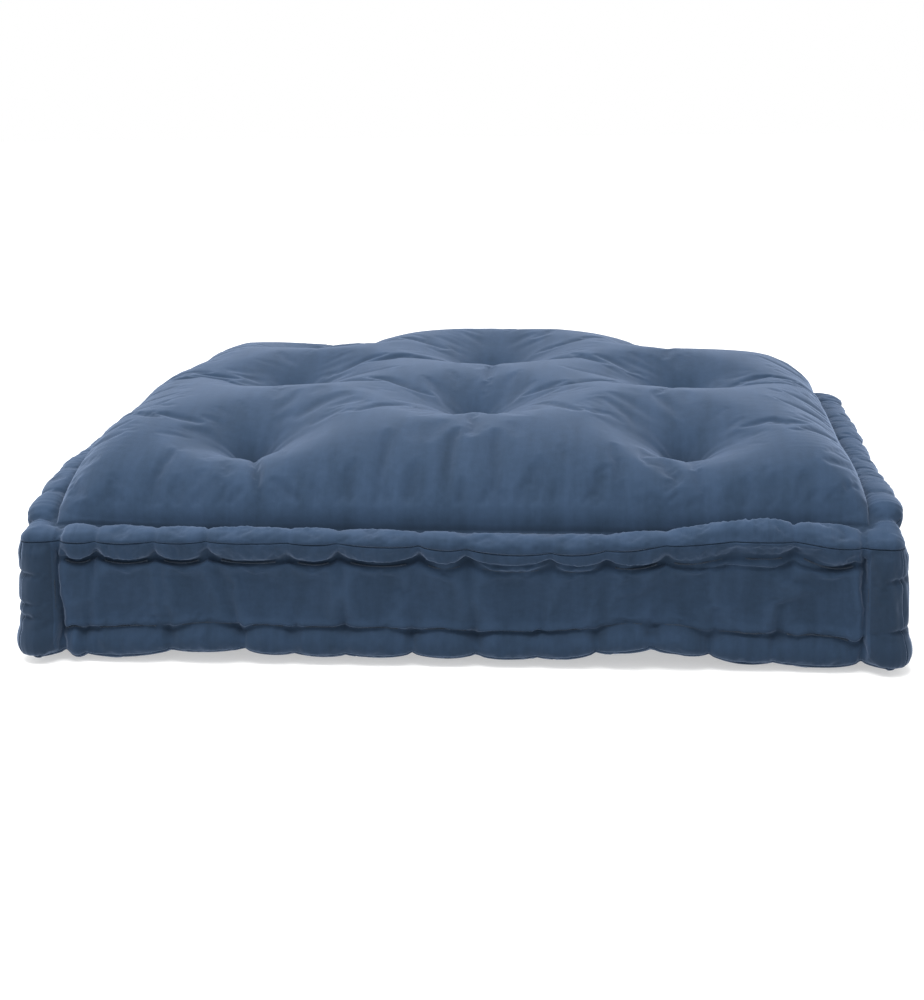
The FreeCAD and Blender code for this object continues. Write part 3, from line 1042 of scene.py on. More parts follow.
    def _top_folds(self, u: Grid, v: Grid) -> Grid:
        """Fine folds of the top panel: across the rolls, in from them, and round each tuft.

        Args:
            u: distance from the middle along X, as spread gives it.
            v: the same along Y.

        Returns:
            How far each point stands out.
        """
        s = self.net.shape.sizes
        inside_x, inside_y = s.roll_line - np.abs(u), s.roll_line - np.abs(v)
        height = np.zeros_like(u)
        for inside, other, along, across in ((inside_y, inside_x, u, v), (inside_x, inside_y, v, u)):
            near = (inside <= other) * np.clip((other - inside) / (25 * MM), 0, 1)
            for sign in (-1, 1):
                here = near * (across * sign > 0)
                ring, line = wavelets(self.rng, self.roll_waves), wavelets(self.rng, self.crown_waves)
                slant = wavelets(self.rng, self.slant_waves)
                on_roll = np.clip((Swelling.groove_inset - inside) / (5 * MM), 0, 1)
                rim = np.clip((inside + s.rim) / (6 * MM), 0, 1)
                height += here * on_roll * rim * ring(along) * self.roll_folds
                beyond = np.maximum(inside - Swelling.groove_inset, 0)
                strength = np.exp(-beyond / self.crown_reach) * (1 - on_roll)
                bent = along + slant(along) * 3 * MM + slant(inside * 2) * 2 * MM
                height += here * strength * line(bent) * self.crown_folds
        for x, y in s.tufts:
            away, bearing = np.hypot(u - x, v - y), np.arctan2(v - y, u - x)
            strength = np.exp(-away / self.tuft_reach) * np.clip(away / self.tuft_bare, 0, 1)
            folds = sum(np.sin(bearing * spokes + self.rng.uniform(0, 6.3)) for spokes in self.tuft_spokes)
            height += strength * folds / 2 * self.tuft_folds
        return height

    def side_panel(self, side: Side) -> bpy.types.Object:
        """One of the four side panels.

        Args:
            side: which.

        Returns:
            The piece.
        """
        net, s = self.net, self.net.shape.sizes
        across, down = self._lines(net.cells, True), self._lines(net.rows, True)
        grid = finer(finer(self.points[net.side_ids[side]], down, 0), across, 1)
        grid = np.swapaxes(grid[::-1], 0, 1)
        place = np.interp(across, np.arange(len(net.across)), net.across)
        fall = np.interp(down, np.arange(len(net.falls)), net.falls)[::-1]
        along, drop = np.meshgrid(place, fall, indexing="ij")
        upper, lower = (wavelets(self.rng, self.side_roll_waves) for _ in range(2))
        middle = wavelets(self.rng, self.face_waves)
        away = np.minimum(drop, 1 - drop)
        on_roll = np.clip((0.16 - away) / 0.05, 0, 1) * np.clip(away / 0.03, 0, 1)
        ring = np.where(drop < 0.5, upper(along), lower(along)) * on_roll * self.roll_folds
        folds = middle(along + 4 * MM * np.sin(drop * 5)) * (1 - on_roll) * np.clip(away / 0.1, 0, 1)
        tuck = self._tuck(side, along, grid[..., 2])
        grid = grid + outward_of(grid) * (ring + folds * self.face_folds - tuck)[..., None]
        width = np.interp(across, [0, net.cells], [-s.reach, s.reach])
        height = (1 - fall) * s.edge_height * 1.2
        # painted shade: the upright corner rolls below the upper seam are darkened, though their cloth is the
        # same
        upright = np.clip((np.abs(along) - s.roll_line) / (4 * MM) + 4, 0, 1)
        upright *= np.clip((s.upper_seam - grid[..., 2]) / (12 * MM), 0, 1)
        extra_painted_shade = upright * self.upright_painted_shade
        return self._piece(f"side_panel_{side.label}", grid, (width, height), 0.0, extra_painted_shade)

    def _tuck(self, side: Side, along: Grid, height: Grid) -> Grid:
        """How deep the cloth is drawn in along the grooves beside the lying rolls.

        Args:
            side: which panel.
            along: distance from the panel's middle.
            height: the cloth's height.

        Returns:
            A depth for each point.
        """
        shape, s = self.net.shape, self.net.shape.sizes
        depth = np.zeros_like(height)
        for line, share in ((s.upper_seam - s.groove_drop, self.upper_tuck),
                            (s.lower_seam + s.groove_drop, self.lower_tuck)):
            level = line + shape.scallop(side, along, np.full_like(height, line))
            inner = np.clip((shape.upper[side].crease - np.abs(along)) / (8 * MM), 0, 1)
            depth += share * self.tuck_depth * inner * np.exp(-(((height - level) / self.tuck_width) ** 2))
        return depth

    def build(self) -> dict[str, bpy.types.Object]:
        """All six panels.

        Returns:
            The pieces by the CAD nodes that they stand for.
        """
        pieces = {"top_panel": self.face_panel("top_panel_cloth", True),
                  "bottom_panel": self.face_panel("bottom_panel_cloth", False)}
        for side in Side:
            pieces[f"side_panel_{side.label}"] = self.side_panel(side)
        return pieces


# ------------ settling
@dataclass(frozen=True)
class Corner:
    """A corner of the cushion that has sunk a little in use."""

    place: tuple[int, int]
    drop: float
    pull: float


@dataclass(frozen=True)
class Lift:
    """A stretch of a left or right edge that the filling bears up and pushes outward."""

    hand: int
    place: float
    width: float
    height: float
    out: float


@dataclass(frozen=True)
class Settling:
    """How the cushion settles: its rolls roll under, its feet spread and some corners sink."""

    sizes: CushionSizes
    sunk: tuple[Corner, ...]
    lifts: tuple[Lift, ...]
    hitches: tuple[Sag, ...]
    sewn: tuple[float, ...] = (0, 60 * MM, 115 * MM, 133 * MM, 152 * MM, 190 * MM, 300 * MM)
    settled: tuple[float, ...] = (0, 59 * MM, 111 * MM, 132.5 * MM, 144.5 * MM, 187 * MM, 300 * MM)
    roll_under: float = 0.8
    under_reach: float = 1.6
    under_fade: float = 0.3
    roll_rise: float = 5 * MM
    rise_height: float = 100 * MM
    width: float = 190 * MM
    foot_width: float = 60 * MM
    foot_height: float = 133 * MM
    foot_spread: float = 4 * MM
    lift_reach: float = 75 * MM
    lift_floor: float = 40 * MM
    lift_height: float = 90 * MM
    lift_start: float = 12 * MM
    lift_run: float = 45 * MM

    def settle(self, piece: bpy.types.Object) -> None:
        """Moves a piece's points to where they settle.

        Args:
            piece: any piece of the cushion.
        """
        places = np.empty(len(piece.data.vertices) * 3, dtype=np.float32)
        piece.data.vertices.foreach_get("co", places)
        places = places.reshape(-1, 3).astype(float)
        self._roll_under(places)
        places[:, 2] = np.interp(places[:, 2], self.sewn, self.settled)
        rise, out = self._borne_up(places)
        places[:, 0] += out
        places[:, 2] += rise + self._clear_of_floor(places)
        for corner in itertools.product((-1, 1), repeat=2):
            low = np.clip(1 - places[:, 2] / self.foot_height, 0, 1)
            foot = self._near_corner(places, corner, self.foot_width) * low
            places[:, :2] += np.array(corner) * (self.foot_spread * foot)[:, None]
        for corner in self.sunk:
            weight = self._near_corner(places, corner.place, self.width)
            places[:, 2] *= 1 - corner.drop * weight
            places[:, :2] -= np.array(corner.place) * (corner.pull * weight)[:, None]
        piece.data.vertices.foreach_set("co", places.astype(np.float32).ravel())
        piece.data.update()

    def _near_corner(self, places: Grid, corner: tuple[int, int], width: float) -> Grid:
        """1 at a corner of the cushion and less further off.

        Args:
            places: points of a piece.
            corner: the signs of the corner's X and Y.
            width: how far off it falls to about a third.

        Returns:
            A weight for each point.
        """
        away = np.hypot(*(places[:, :2] - np.array(corner) * self.sizes.half).T)
        return np.exp(-((away / width) ** 2))

    def _roll_under(self, places: Grid) -> None:
        """Turns the lower rolls under, so that their seam comes to lie beneath them.

        Args:
            places: points of a piece, which are moved.
        """
        line, radius = self.sizes.roll_line, self.sizes.roll_radius
        axis = np.clip(places[:, :2], -line, line)
        way = places[:, :2] - axis
        out = np.linalg.norm(way, axis=1)
        rise = places[:, 2] - radius
        reach, angle = np.hypot(out, rise), np.arctan2(rise, out)
        moved = (out > 1e-6) & (angle > -math.pi / 2) & (reach < self.under_reach * radius)
        fade = np.clip((self.under_reach - reach / radius) / self.under_fade, 0, 1)
        turned = angle - self.roll_under * np.cos(angle) ** 2 * fade
        share = np.where(moved, reach * np.cos(turned) / np.maximum(out, 1e-6), 1)
        places[:, :2] = axis + way * share[:, None]
        places[:, 2] = np.where(moved, radius + reach * np.sin(turned), places[:, 2])
        places[:, 2] = np.maximum(places[:, 2], 0)

    def _clear_of_floor(self, places: Grid) -> Grid:
        """How the lower rolls hang clear of the floor between the corners.

        Args:
            places: points of a piece.

        Returns:
            The rise of each.
        """
        x, y, z = places.T
        half = self.sizes.half
        away = np.maximum(np.abs(x), np.abs(y))
        along = np.minimum(np.abs(x), np.abs(y))
        edge = np.clip((away - half) / self.sizes.roll_radius + 2, 0, 1)
        rise = self.roll_rise * np.clip((half - along) / self.width, 0, 1)
        front = np.clip(-y / half, 0, 1)
        for hitch in self.hitches:
            rise += front * hitch.height * np.exp(-(((x - hitch.place) / hitch.width) ** 2))
        return rise * edge * np.clip(1 - z / self.rise_height, 0, 1)

    def _borne_up(self, places: Grid) -> tuple[Grid, Grid]:
        """How far the lifts move each point, most at the edge rolls and none low down.

        Args:
            places: points of a piece.

        Returns:
            The rise of each, and how far it goes along X.
        """
        x, y, z = places.T
        rise, out = np.zeros_like(z), np.zeros_like(z)
        inner = self.sizes.half - 2 * self.sizes.roll_radius
        for lift in self.lifts:
            edge = np.maximum(inner - lift.hand * x, 0) / self.lift_reach
            share = np.exp(-(((y - lift.place) / lift.width) ** 2) - edge**2)
            rise += lift.height * share
            out += lift.hand * lift.out * share
        ahead = np.clip((y + self.sizes.half - self.lift_start) / self.lift_run, 0, 1)
        raised = ahead * np.clip((z - self.lift_floor) / self.lift_height, 0, 1)
        return rise * raised, out * raised


# ------------ inside the cover
def tube(spine: Grid, radius: Grid, sides: int, across: tuple[float, float, float]) -> tuple[Grid, Grid]:
    """A round tube with closed ends.

    Args:
        spine: places along its axis.
        radius: its radius at each of them.
        sides: points round it, an even number.
        across: a direction that the axis never takes, from which the rings are counted.

    Returns:
        The points and the faces.
    """
    tangent = np.gradient(spine, axis=0)
    tangent /= np.linalg.norm(tangent, axis=1, keepdims=True)
    second = np.cross(tangent, np.array(across))
    second /= np.linalg.norm(second, axis=1, keepdims=True)
    first = np.cross(second, tangent)
    turns = np.linspace(0, 2 * math.pi, sides, endpoint=False)
    ring = np.cos(turns)[None, :, None] * first[:, None] + np.sin(turns)[None, :, None] * second[:, None]
    points = spine[:, None] + ring * radius[:, None, None]
    ids = np.arange(len(spine) * sides).reshape(len(spine), sides)
    following = np.roll(ids, -1, axis=1)
    wall = np.stack([ids[:-1], following[:-1], following[1:], ids[1:]], axis=-1).reshape(-1, 4)
    step = np.arange(sides // 2 - 1)
    cap = np.stack([step, step + 1, sides - 2 - step, sides - 1 - step], axis=-1)
    return points.reshape(-1, 3), np.concatenate([wall, cap[:, ::-1], cap + ids[-1, 0]])


def join(parts: list[tuple[Grid, Grid]]) -> tuple[Grid, Grid]:
    """Several shapes as one.

    Args:
        parts: the points and faces of each.

    Returns:
        All the points and all the faces.
    """
    starts = np.cumsum([0, *[len(points) for points, _ in parts]])
    faces = [faces + start for (_, faces), start in zip(parts, starts)]
    return np.concatenate([points for points, _ in parts]), np.concatenate(faces)


@dataclass
class FillingShape:
    """The filling, which fits the swollen cover between its rolls."""

    cover: CoverNet
    points: Grid
    half: float = 392 * MM
    gap: float = 12 * MM
    swell: float = 40 * MM
    swell_fade: float = 30 * MM
    nearby: int = 3

    def spread(self, cells: int) -> Grid:
        """Even lines across the filling."""
        return np.linspace(-self.half, self.half, cells + 1)

    def falls(self, count: int) -> Grid:
        """Even steps down its sides."""
        return np.linspace(0, 1, count + 1)

    def _height(self, x: Grid, y: Grid, top: bool) -> Grid:
        """The height just inside the cover, at its lowest nearby for the top and highest for the bottom.

        Args:
            x: distance from the middle along X.
            y: the same along Y.
            top: whether the top is meant.

        Returns:
            A height for each point.
        """
        ids = self.cover.top_ids if top else self.cover.bottom_ids
        heights = self.points[ids][..., 2]
        steps = range(-self.nearby, self.nearby + 1)
        around = [np.roll(heights, step, (0, 1)) for step in itertools.product(steps, repeat=2)]
        heights = np.min(around, axis=0) - self.gap if top else np.max(around, axis=0) + self.gap
        lines = self.cover.across
        i = np.clip(np.searchsorted(lines, x), 1, len(lines) - 1)
        j = np.clip(np.searchsorted(lines, y), 1, len(lines) - 1)
        return heights[i, j]

    def face_panel(self, u: Grid, v: Grid, top: bool) -> Grid:
        """Places on the filling's top or bottom."""
        return np.stack([u, v, self._height(u, v, top)], axis=-1)

    def side_panel(self, side: Side, along: Grid, fall: Grid) -> Grid:
        """Places on one of its sides, which swell out between the rolls.

        Args:
            side: which.
            along: distance from the side's middle.
            fall: 0 at the top and 1 at the bottom.

        Returns:
            One place for each point.
        """
        ends = turn(np.stack([along, np.full_like(along, -self.half), fall], axis=-1), side)
        upper, lower = (self._height(ends[..., 0], ends[..., 1], top) for top in (True, False))
        fade = np.clip((self.half - np.abs(along)) / self.swell_fade, 0, 1)
        out = self.swell * np.sin(np.pi * fall) * fade
        ends[..., 2] = upper + (lower - upper) * fall
        outward = turn(np.array([0.0, -1.0, 0.0]), side)
        return ends + outward * out[..., None]


@dataclass
class Wadding:
    """The cotton wadding: the filling and the twelve edge rolls."""

    net: CoverNet
    points: Grid
    gap: float = 8 * MM
    least: float = 4 * MM
    pinching: float = 1.3
    stations: int = 150
    sides: int = 20
    upright_stations: int = 60
    upright_trim: float = 2 * MM
    upright_pinch: float = 3 * MM
    upright_pinch_width: float = 8 * MM

    def filling(self) -> bpy.types.Object:
        """The crowned block of wadding in the middle."""
        block = CoverNet(FillingShape(self.net, self.points), 96, 14)
        return mesh_piece("filling_wadding", block.points(), block.faces())

    def _rounded(self, place: Grid, end: float, radius: Grid) -> Grid:
        """The radius along a roll, rounded off at both its ends."""
        beyond = np.clip((np.abs(place) - end + radius) / radius, 0, 0.995)
        return radius * np.sqrt(1 - beyond**2)

    def roll(self, side: Side, top: bool) -> bpy.types.Object:
        """One lying edge roll.

        Args:
            side: the side it lies along.
            top: whether it is the upper one.

        Returns:
            The piece.
        """
        shape, s = self.net.shape, self.net.shape.sizes
        row = (shape.upper if top else shape.lower)[side]
        name = f"{'top' if top else 'bottom'}_roll_{side.label}"
        low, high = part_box("top_roll_front")
        end = (high[0] - low[0]) / 2
        place = end * np.sin(np.linspace(-math.pi / 2, math.pi / 2, self.stations))
        pinched = self.pinching * shape.pinch * row.pull(place) * (1 - row.bulge(place))
        radius = np.maximum(shape.radius(row, place) - self.gap - pinched, self.least)
        radius = self._rounded(place, end, radius)
        height = (s.upper_seam if top else s.lower_seam) + row.drift(place)
        spine = turn(np.stack([place, np.full_like(place, -s.roll_line), height], axis=-1), side)
        return mesh_piece(f"{name}_wadding", *tube(spine, radius, self.sides, (0, 0, 1)))

    def corner(self, side: Side, name: str) -> bpy.types.Object:
        """The upright roll at the left end of a side.

        Args:
            side: which side.
            name: the CAD node that the roll stands for.

        Returns:
            The piece.
        """
        s = self.net.shape.sizes
        low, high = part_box(name)
        middle, end = (low[2] + high[2]) / 2, (high[2] - low[2]) / 2 - self.upright_trim
        place = end * np.sin(np.linspace(-math.pi / 2, math.pi / 2, self.upright_stations))
        radius = np.full_like(place, s.roll_radius - self.gap)
        for height in self.net.shape.corner_pinches[side]:
            away = place + middle - height
            radius -= self.upright_pinch * np.exp(-((away / self.upright_pinch_width) ** 2))
        corner = turn(np.array([-s.roll_line, -s.roll_line, 0]), side)
        spine = corner + np.stack([0 * place, 0 * place, place + middle], axis=-1)
        radius = self._rounded(place, end, radius)
        return mesh_piece(f"{name}_wadding", *tube(spine, radius, self.sides, (1, 0, 0)))

    def build(self) -> dict[str, bpy.types.Object]:
        """Every piece of wadding.

        Returns:
            The pieces by the CAD nodes that they stand for.
        """
        pieces = {"filling": self.filling()}
        corners = ("front_left", "front_right", "back_right", "back_left")
        for side, corner in zip(Side, corners):
            pieces[f"top_roll_{side.label}"] = self.roll(side, True)
            pieces[f"bottom_roll_{side.label}"] = self.roll(side, False)
            pieces[f"corner_roll_{corner}"] = self.corner(side, f"corner_roll_{corner}")
        return pieces


@dataclass
class TuftTies:
    """The eight twine ties, each a stitch on top, two legs through the filling and a knot below."""

    net: CoverNet
    points: Grid
    strand_radius: float = 0.75 * MM
    strands: int = 3
    lay: float = 8 * MM
    leg: float = 2.6 * MM
    knot_radius: float = 3.4 * MM

    def _path(self, x: float, y: float, top: float, low: float) -> Grid:
        """The twine's axis, from its knot up, over and down again.

        Args:
            x: the tie's place along X.
            y: the same along Y.
            top: height of the cloth above it.
            low: height of the cloth below it.

        Returns:
            Places along the axis.
        """
        bend = np.linspace(math.pi, 0, 15)
        rise = np.linspace(low - 1 * MM, top, 90)
        over = np.stack([self.leg * np.cos(bend), 0 * bend, top + self.leg * 0.9 * np.sin(bend)], axis=-1)
        up = np.stack([np.full_like(rise, -self.leg), 0 * rise, rise], axis=-1)
        down = up[::-1] * np.array([-1, 1, 1])
        turns = np.linspace(0, 4 * math.pi, 50)
        coil = self.knot_radius * np.stack([np.cos(turns), np.sin(turns), 0 * turns], axis=-1)
        coil[:, 2] = low - 2 * MM - 2.2 * MM * np.sin(turns / 4)
        path = np.concatenate([up, over[1:-1], down, coil[3:]])
        return path + np.array([x, y, 0])

    def _twine(self, path: Grid) -> tuple[Grid, Grid]:
        """Strands laid round a path.

        Args:
            path: the twine's axis.

        Returns:
            The points and the faces.
        """
        length = np.concatenate([[0], np.cumsum(np.linalg.norm(np.diff(path, axis=0), axis=1))])
        even = np.linspace(0, length[-1], int(length[-1] / (0.9 * MM)))
        path = np.stack([np.interp(even, length, path[:, axis]) for axis in range(3)], axis=-1)
        tangent = np.gradient(path, axis=0)
        tangent /= np.linalg.norm(tangent, axis=1, keepdims=True)
        first = np.cross(tangent, np.array([0.0, 1.0, 0.02]))
        first /= np.maximum(np.linalg.norm(first, axis=1, keepdims=True), 1e-9)
        second = np.cross(tangent, first)
        parts = []
        for strand in range(self.strands):
            angle = (2 * math.pi * (even / self.lay + strand / self.strands))[:, None]
            spine = path + self.strand_radius * (np.cos(angle) * first + np.sin(angle) * second)
            parts.append(tube(spine, np.full(len(spine), self.strand_radius), 6, (0.3, 1, 0.1)))
        return join(parts)

    def build(self) -> dict[str, bpy.types.Object]:
        """All the ties.

        Returns:
            The pieces by the CAD nodes that they stand for.
        """
        pieces = {}
        for number, (x, y) in enumerate(self.net.shape.sizes.tufts, start=1):
            i, j = (int(np.argmin(np.abs(self.net.across - place))) for place in (x, y))
            top, low = self.points[self.net.top_ids[i, j], 2], self.points[self.net.bottom_ids[i, j], 2]
            name = f"tuft_tie_{number}"
            pieces[name] = mesh_piece(f"{name}_twine", *self._twine(self._path(x, y, top, low)))
        return pieces


@dataclass
class MattressStitches:
    """The threads that lie in the grooves beside the rolls, laid along them by Geometry Nodes."""

    net: CoverNet
    points: Grid
    share: float = 0.7
    ply_length: float = 2.1 * MM
    thread_radius: float = 1.0 * MM
    proud: float = -0.7 * MM
    upright_run: tuple[float, float] = (50 * MM, 101 * MM)
    ply_slant: float = 0.55
    ply_width: float = 0.9
    ply_reach: float = 0.85
    ply_sizes: tuple[float, float] = (0.88, 1.08)
    seed: int = 5

    def _runs(self, line: Grid, places: Grid, stations: Grid) -> list[Grid]:
        """A groove's line cut into stitches, one between each two pinches.

        Args:
            line: points along the groove.
            places: how far along it each of them lies.
            stations: where the pinches are.

        Returns:
            The points of each stitch.
        """
        runs = []
        for start, end in zip(stations[:-1], stations[1:]):
            spare = (end - start) * (1 - self.share) / 2
            inside = (places > start + spare) & (places < end - spare)
            if np.count_nonzero(inside) > 2:
                runs.append(line[inside])
        return runs

    def grooves(self, top: bool) -> list[Grid]:
        """The stitches beside the lying rolls of one face panel, on it and on the side panels.

        Args:
            top: whether the top panel is meant.

        Returns:
            The points of each stitch.
        """
        net, s = self.net, self.net.shape.sizes
        face = net.top_ids if top else net.bottom_ids
        rows = net.shape.upper if top else net.shape.lower
        inset = int(np.argmin(np.abs(net.across + s.roll_line - Swelling.groove_inset)))
        lift = np.array([0, 0, self.proud if top else -self.proud])
        height = s.upper_seam - s.groove_drop if top else s.lower_seam + s.groove_drop
        fall = (s.upper_seam - height) / s.edge_height
        level = int(np.argmin(np.abs(net.falls - fall)))
        runs = []
        for side in Side:
            stations = rows[side].stations()[1:-1]
            on_face = {Side.FRONT: face[:, inset], Side.RIGHT: face[-1 - inset, :],
                       Side.BACK: face[::-1, -1 - inset], Side.LEFT: face[inset, ::-1]}[side]
            runs += self._runs(self.points[on_face] + lift, net.across, stations)
            outward = turn(np.array([0, -self.proud, 0]), side)
            runs += self._runs(self.points[net.side_ids[side][level]] + outward, net.across, stations)
        return runs

    def uprights(self) -> list[Grid]:
        """The stitches beside the upright rolls.

        Returns:
            The points of each stitch.
        """
        net, s = self.net, self.net.shape.sizes
        inner = s.roll_line - s.groove_drop
        runs = []
        for side in Side:
            for place in (-inner, inner):
                column = int(np.argmin(np.abs(net.across - place)))
                line = self.points[net.side_ids[side][:, column]]
                line = line + turn(np.array([0, -2 * self.proud, 0]), side)
                runs += self._runs(line, line[:, 2], np.array(self.upright_run))
        return runs

    def _tree(self, finish: bpy.types.Material) -> bpy.types.GeometryNodeTree:
        """The node tree that turns stitch lines into twisted thread.

        Args:
            finish: the thread's material.

        Returns:
            The tree, with inputs for ply length, thread radius and seed.
        """
        tree = bpy.data.node_groups.new("twisted_thread", "GeometryNodeTree")
        tree.interface.new_socket("Lines", in_out="INPUT", socket_type="NodeSocketGeometry")
        for name, value in (("Ply Length", self.ply_length), ("Thread Radius", self.thread_radius)):
            socket = tree.interface.new_socket(name, in_out="INPUT", socket_type="NodeSocketFloat")
            socket.default_value = value
        seed = tree.interface.new_socket("Seed", in_out="INPUT", socket_type="NodeSocketInt")
        seed.default_value = self.seed
        tree.interface.new_socket("Thread", in_out="OUTPUT", socket_type="NodeSocketGeometry")
        given = add(tree, "NodeGroupInput")
        curve = add(tree, "GeometryNodeMeshToCurve", links={"Mesh": given.outputs["Lines"]})
        even = add(tree, "GeometryNodeResampleCurve", {"mode": "LENGTH"},
                   {"Curve": curve.outputs[0], "Length": given.outputs["Ply Length"]})
        way = add(tree, "GeometryNodeInputTangent")
        lay = add(tree, "FunctionNodeAlignRotationToVector", {"axis": "Z"}, {"Vector": way.outputs[0]})
        slant = add(tree, "FunctionNodeRotateRotation", {"rotation_space": "LOCAL"},
                    {"Rotation": lay.outputs[0], "Rotate By": (self.ply_slant, 0, 0)})
        wide = add(tree, "ShaderNodeMath", {"operation": "MULTIPLY"},
                   {0: given.outputs["Thread Radius"], 1: self.ply_width})
        long = add(tree, "ShaderNodeMath", {"operation": "MULTIPLY"},
                   {0: given.outputs["Ply Length"], 1: self.ply_reach})
        size = add(tree, "ShaderNodeCombineXYZ", None,
                   {"X": given.outputs["Thread Radius"], "Y": wide.outputs[0], "Z": long.outputs[0]})
        ball = add(tree, "GeometryNodeMeshUVSphere", None, {"Segments": 8, "Rings": 5, "Radius": 1.0})
        smooth = add(tree, "GeometryNodeSetShadeSmooth", None, {"Geometry": ball.outputs[0]})
        ply = add(tree, "GeometryNodeTransform", None,
                  {"Geometry": smooth.outputs[0], "Scale": size.outputs[0]})
        uneven = add(tree, "FunctionNodeRandomValue", {"data_type": "FLOAT"},
                     {"Min": self.ply_sizes[0], "Max": self.ply_sizes[1], "Seed": given.outputs["Seed"]})
        laid = add(tree, "GeometryNodeInstanceOnPoints", None,
                   {"Points": even.outputs[0], "Instance": ply.outputs[0], "Rotation": slant.outputs[0],
                    "Scale": uneven.outputs[1]})
        real = add(tree, "GeometryNodeRealizeInstances", None, {"Geometry": laid.outputs[0]})
        dressed = add(tree, "GeometryNodeSetMaterial", None,
                      {"Geometry": real.outputs[0], "Material": finish})
        add(tree, "NodeGroupOutput", None, {0: dressed.outputs[0]})
        return tree

    def _thread(self, name: str, runs: list[Grid], tree: bpy.types.GeometryNodeTree) -> bpy.types.Object:
        """A plain mesh of twisted thread.

        Args:
            name: the CAD node that it stands for.
            runs: the points of each stitch.
            tree: the node tree that lays the thread.

        Returns:
            The piece.
        """
        starts = np.cumsum([0, *[len(run) for run in runs]])
        edges = [(start + step, start + step + 1) for run, start in zip(runs, starts)
                 for step in range(len(run) - 1)]
        lines = bpy.data.meshes.new(f"{name}_lines")
        lines.from_pydata(np.concatenate(runs).tolist(), edges, [])
        guide = bpy.data.objects.new(f"{name}_lines", lines)
        bpy.context.scene.collection.objects.link(guide)
        laying = guide.modifiers.new("twisted_thread", "NODES")
        laying.node_group = tree
        sockets = {item.name: item.identifier for item in tree.interface.items_tree if item.in_out == "INPUT"}
        laying[sockets["Ply Length"]] = self.ply_length
        laying[sockets["Thread Radius"]] = self.thread_radius
        laying[sockets["Seed"]] = self.seed
        ready = guide.evaluated_get(bpy.context.evaluated_depsgraph_get())
        mesh = bpy.data.meshes.new_from_object(ready)
        guide.modifiers.clear()
        bpy.data.objects.remove(guide)
        mesh.name = f"{name}_cotton"
        piece = bpy.data.objects.new(f"{name}_cotton", mesh)
        bpy.context.scene.collection.objects.link(piece)
        return piece

    def build(self, finish: bpy.types.Material) -> dict[str, bpy.types.Object]:
        """The three threads.

        Args:
            finish: their material.

        Returns:
            The pieces by the CAD nodes that they stand for.
        """
        tree = self._tree(finish)
        runs = {"stitch_thread_top": self.grooves(True), "stitch_thread_bottom": self.grooves(False),
                "stitch_thread_corners": self.uprights()}
        return {name: self._thread(name, lines, tree) for name, lines in runs.items()}


# ------------ finishes
def colour(code: str) -> Colour:
    """A linear colour from its sRGB hex value."""
    parts = [int(code[start:start + 2], 16) / 255 for start in (1, 3, 5)]
    return (*[part / 12.92 if part <= 0.04045 else ((part + 0.055) / 1.055) ** 2.4 for part in parts], 1.0)


def add(tree: bpy.types.NodeTree, kind: str, settings: dict | None = None,
        links: dict | None = None) -> bpy.types.Node:
    """Adds a node.

    Args:
        tree: where it goes.
        kind: the node's type.
        settings: its own properties by name.
        links: for each input, by name or number, a socket to link or a value to hold.

    Returns:
        The node.
    """
    made = tree.nodes.new(kind)
    for name, value in (settings or {}).items():
        setattr(made, name, value)
    for name, value in (links or {}).items():
        socket = made.inputs[name]
        if isinstance(value, bpy.types.NodeSocket):
            tree.links.new(value, socket)
        else:
            socket.default_value = value
    return made


class Finish:
    """What every finish shares: a material with one surface shader."""

    name = "finish"

    def material(self) -> bpy.types.Material:
        """The finished material.

        Returns:
            A new material, dressed by the finish.
        """
        made = bpy.data.materials.new(self.name)
        made.use_nodes = True
        made.node_tree.nodes.clear()
        shader = add(made.node_tree, "ShaderNodeBsdfPrincipled")
        add(made.node_tree, "ShaderNodeOutputMaterial", None, {"Surface": shader.outputs[0]})
        self.dress(made.node_tree, shader)
        return made

    def dress(self, tree: bpy.types.NodeTree, shader: bpy.types.Node) -> None:
        """Sets and links the shader's sockets."""
        raise NotImplementedError


def ramp(tree: bpy.types.NodeTree, value: bpy.types.NodeSocket, low: float, high: float,
         least: float, most: float) -> bpy.types.NodeSocket:
    """A value stretched from one range to another, and kept within it.

    Args:
        tree: the node tree.
        value: the value.
        low: the start of its range.
        high: the end of it.
        least: what the start becomes.
        most: what the end becomes.

    Returns:
        The socket with the new value.
    """
    made = add(tree, "ShaderNodeMapRange", {"clamp": True},
               {"Value": value, "From Min": low, "From Max": high, "To Min": least, "To Max": most})
    return made.outputs[0]


def blended(tree: bpy.types.NodeTree, share: bpy.types.NodeSocket, first: bpy.types.NodeSocket | Colour,
            second: bpy.types.NodeSocket | Colour) -> bpy.types.NodeSocket:
    """Two colours mixed by a share."""
    made = add(tree, "ShaderNodeMix", {"data_type": "RGBA"}, {0: share, 6: first, 7: second})
    return made.outputs[2]


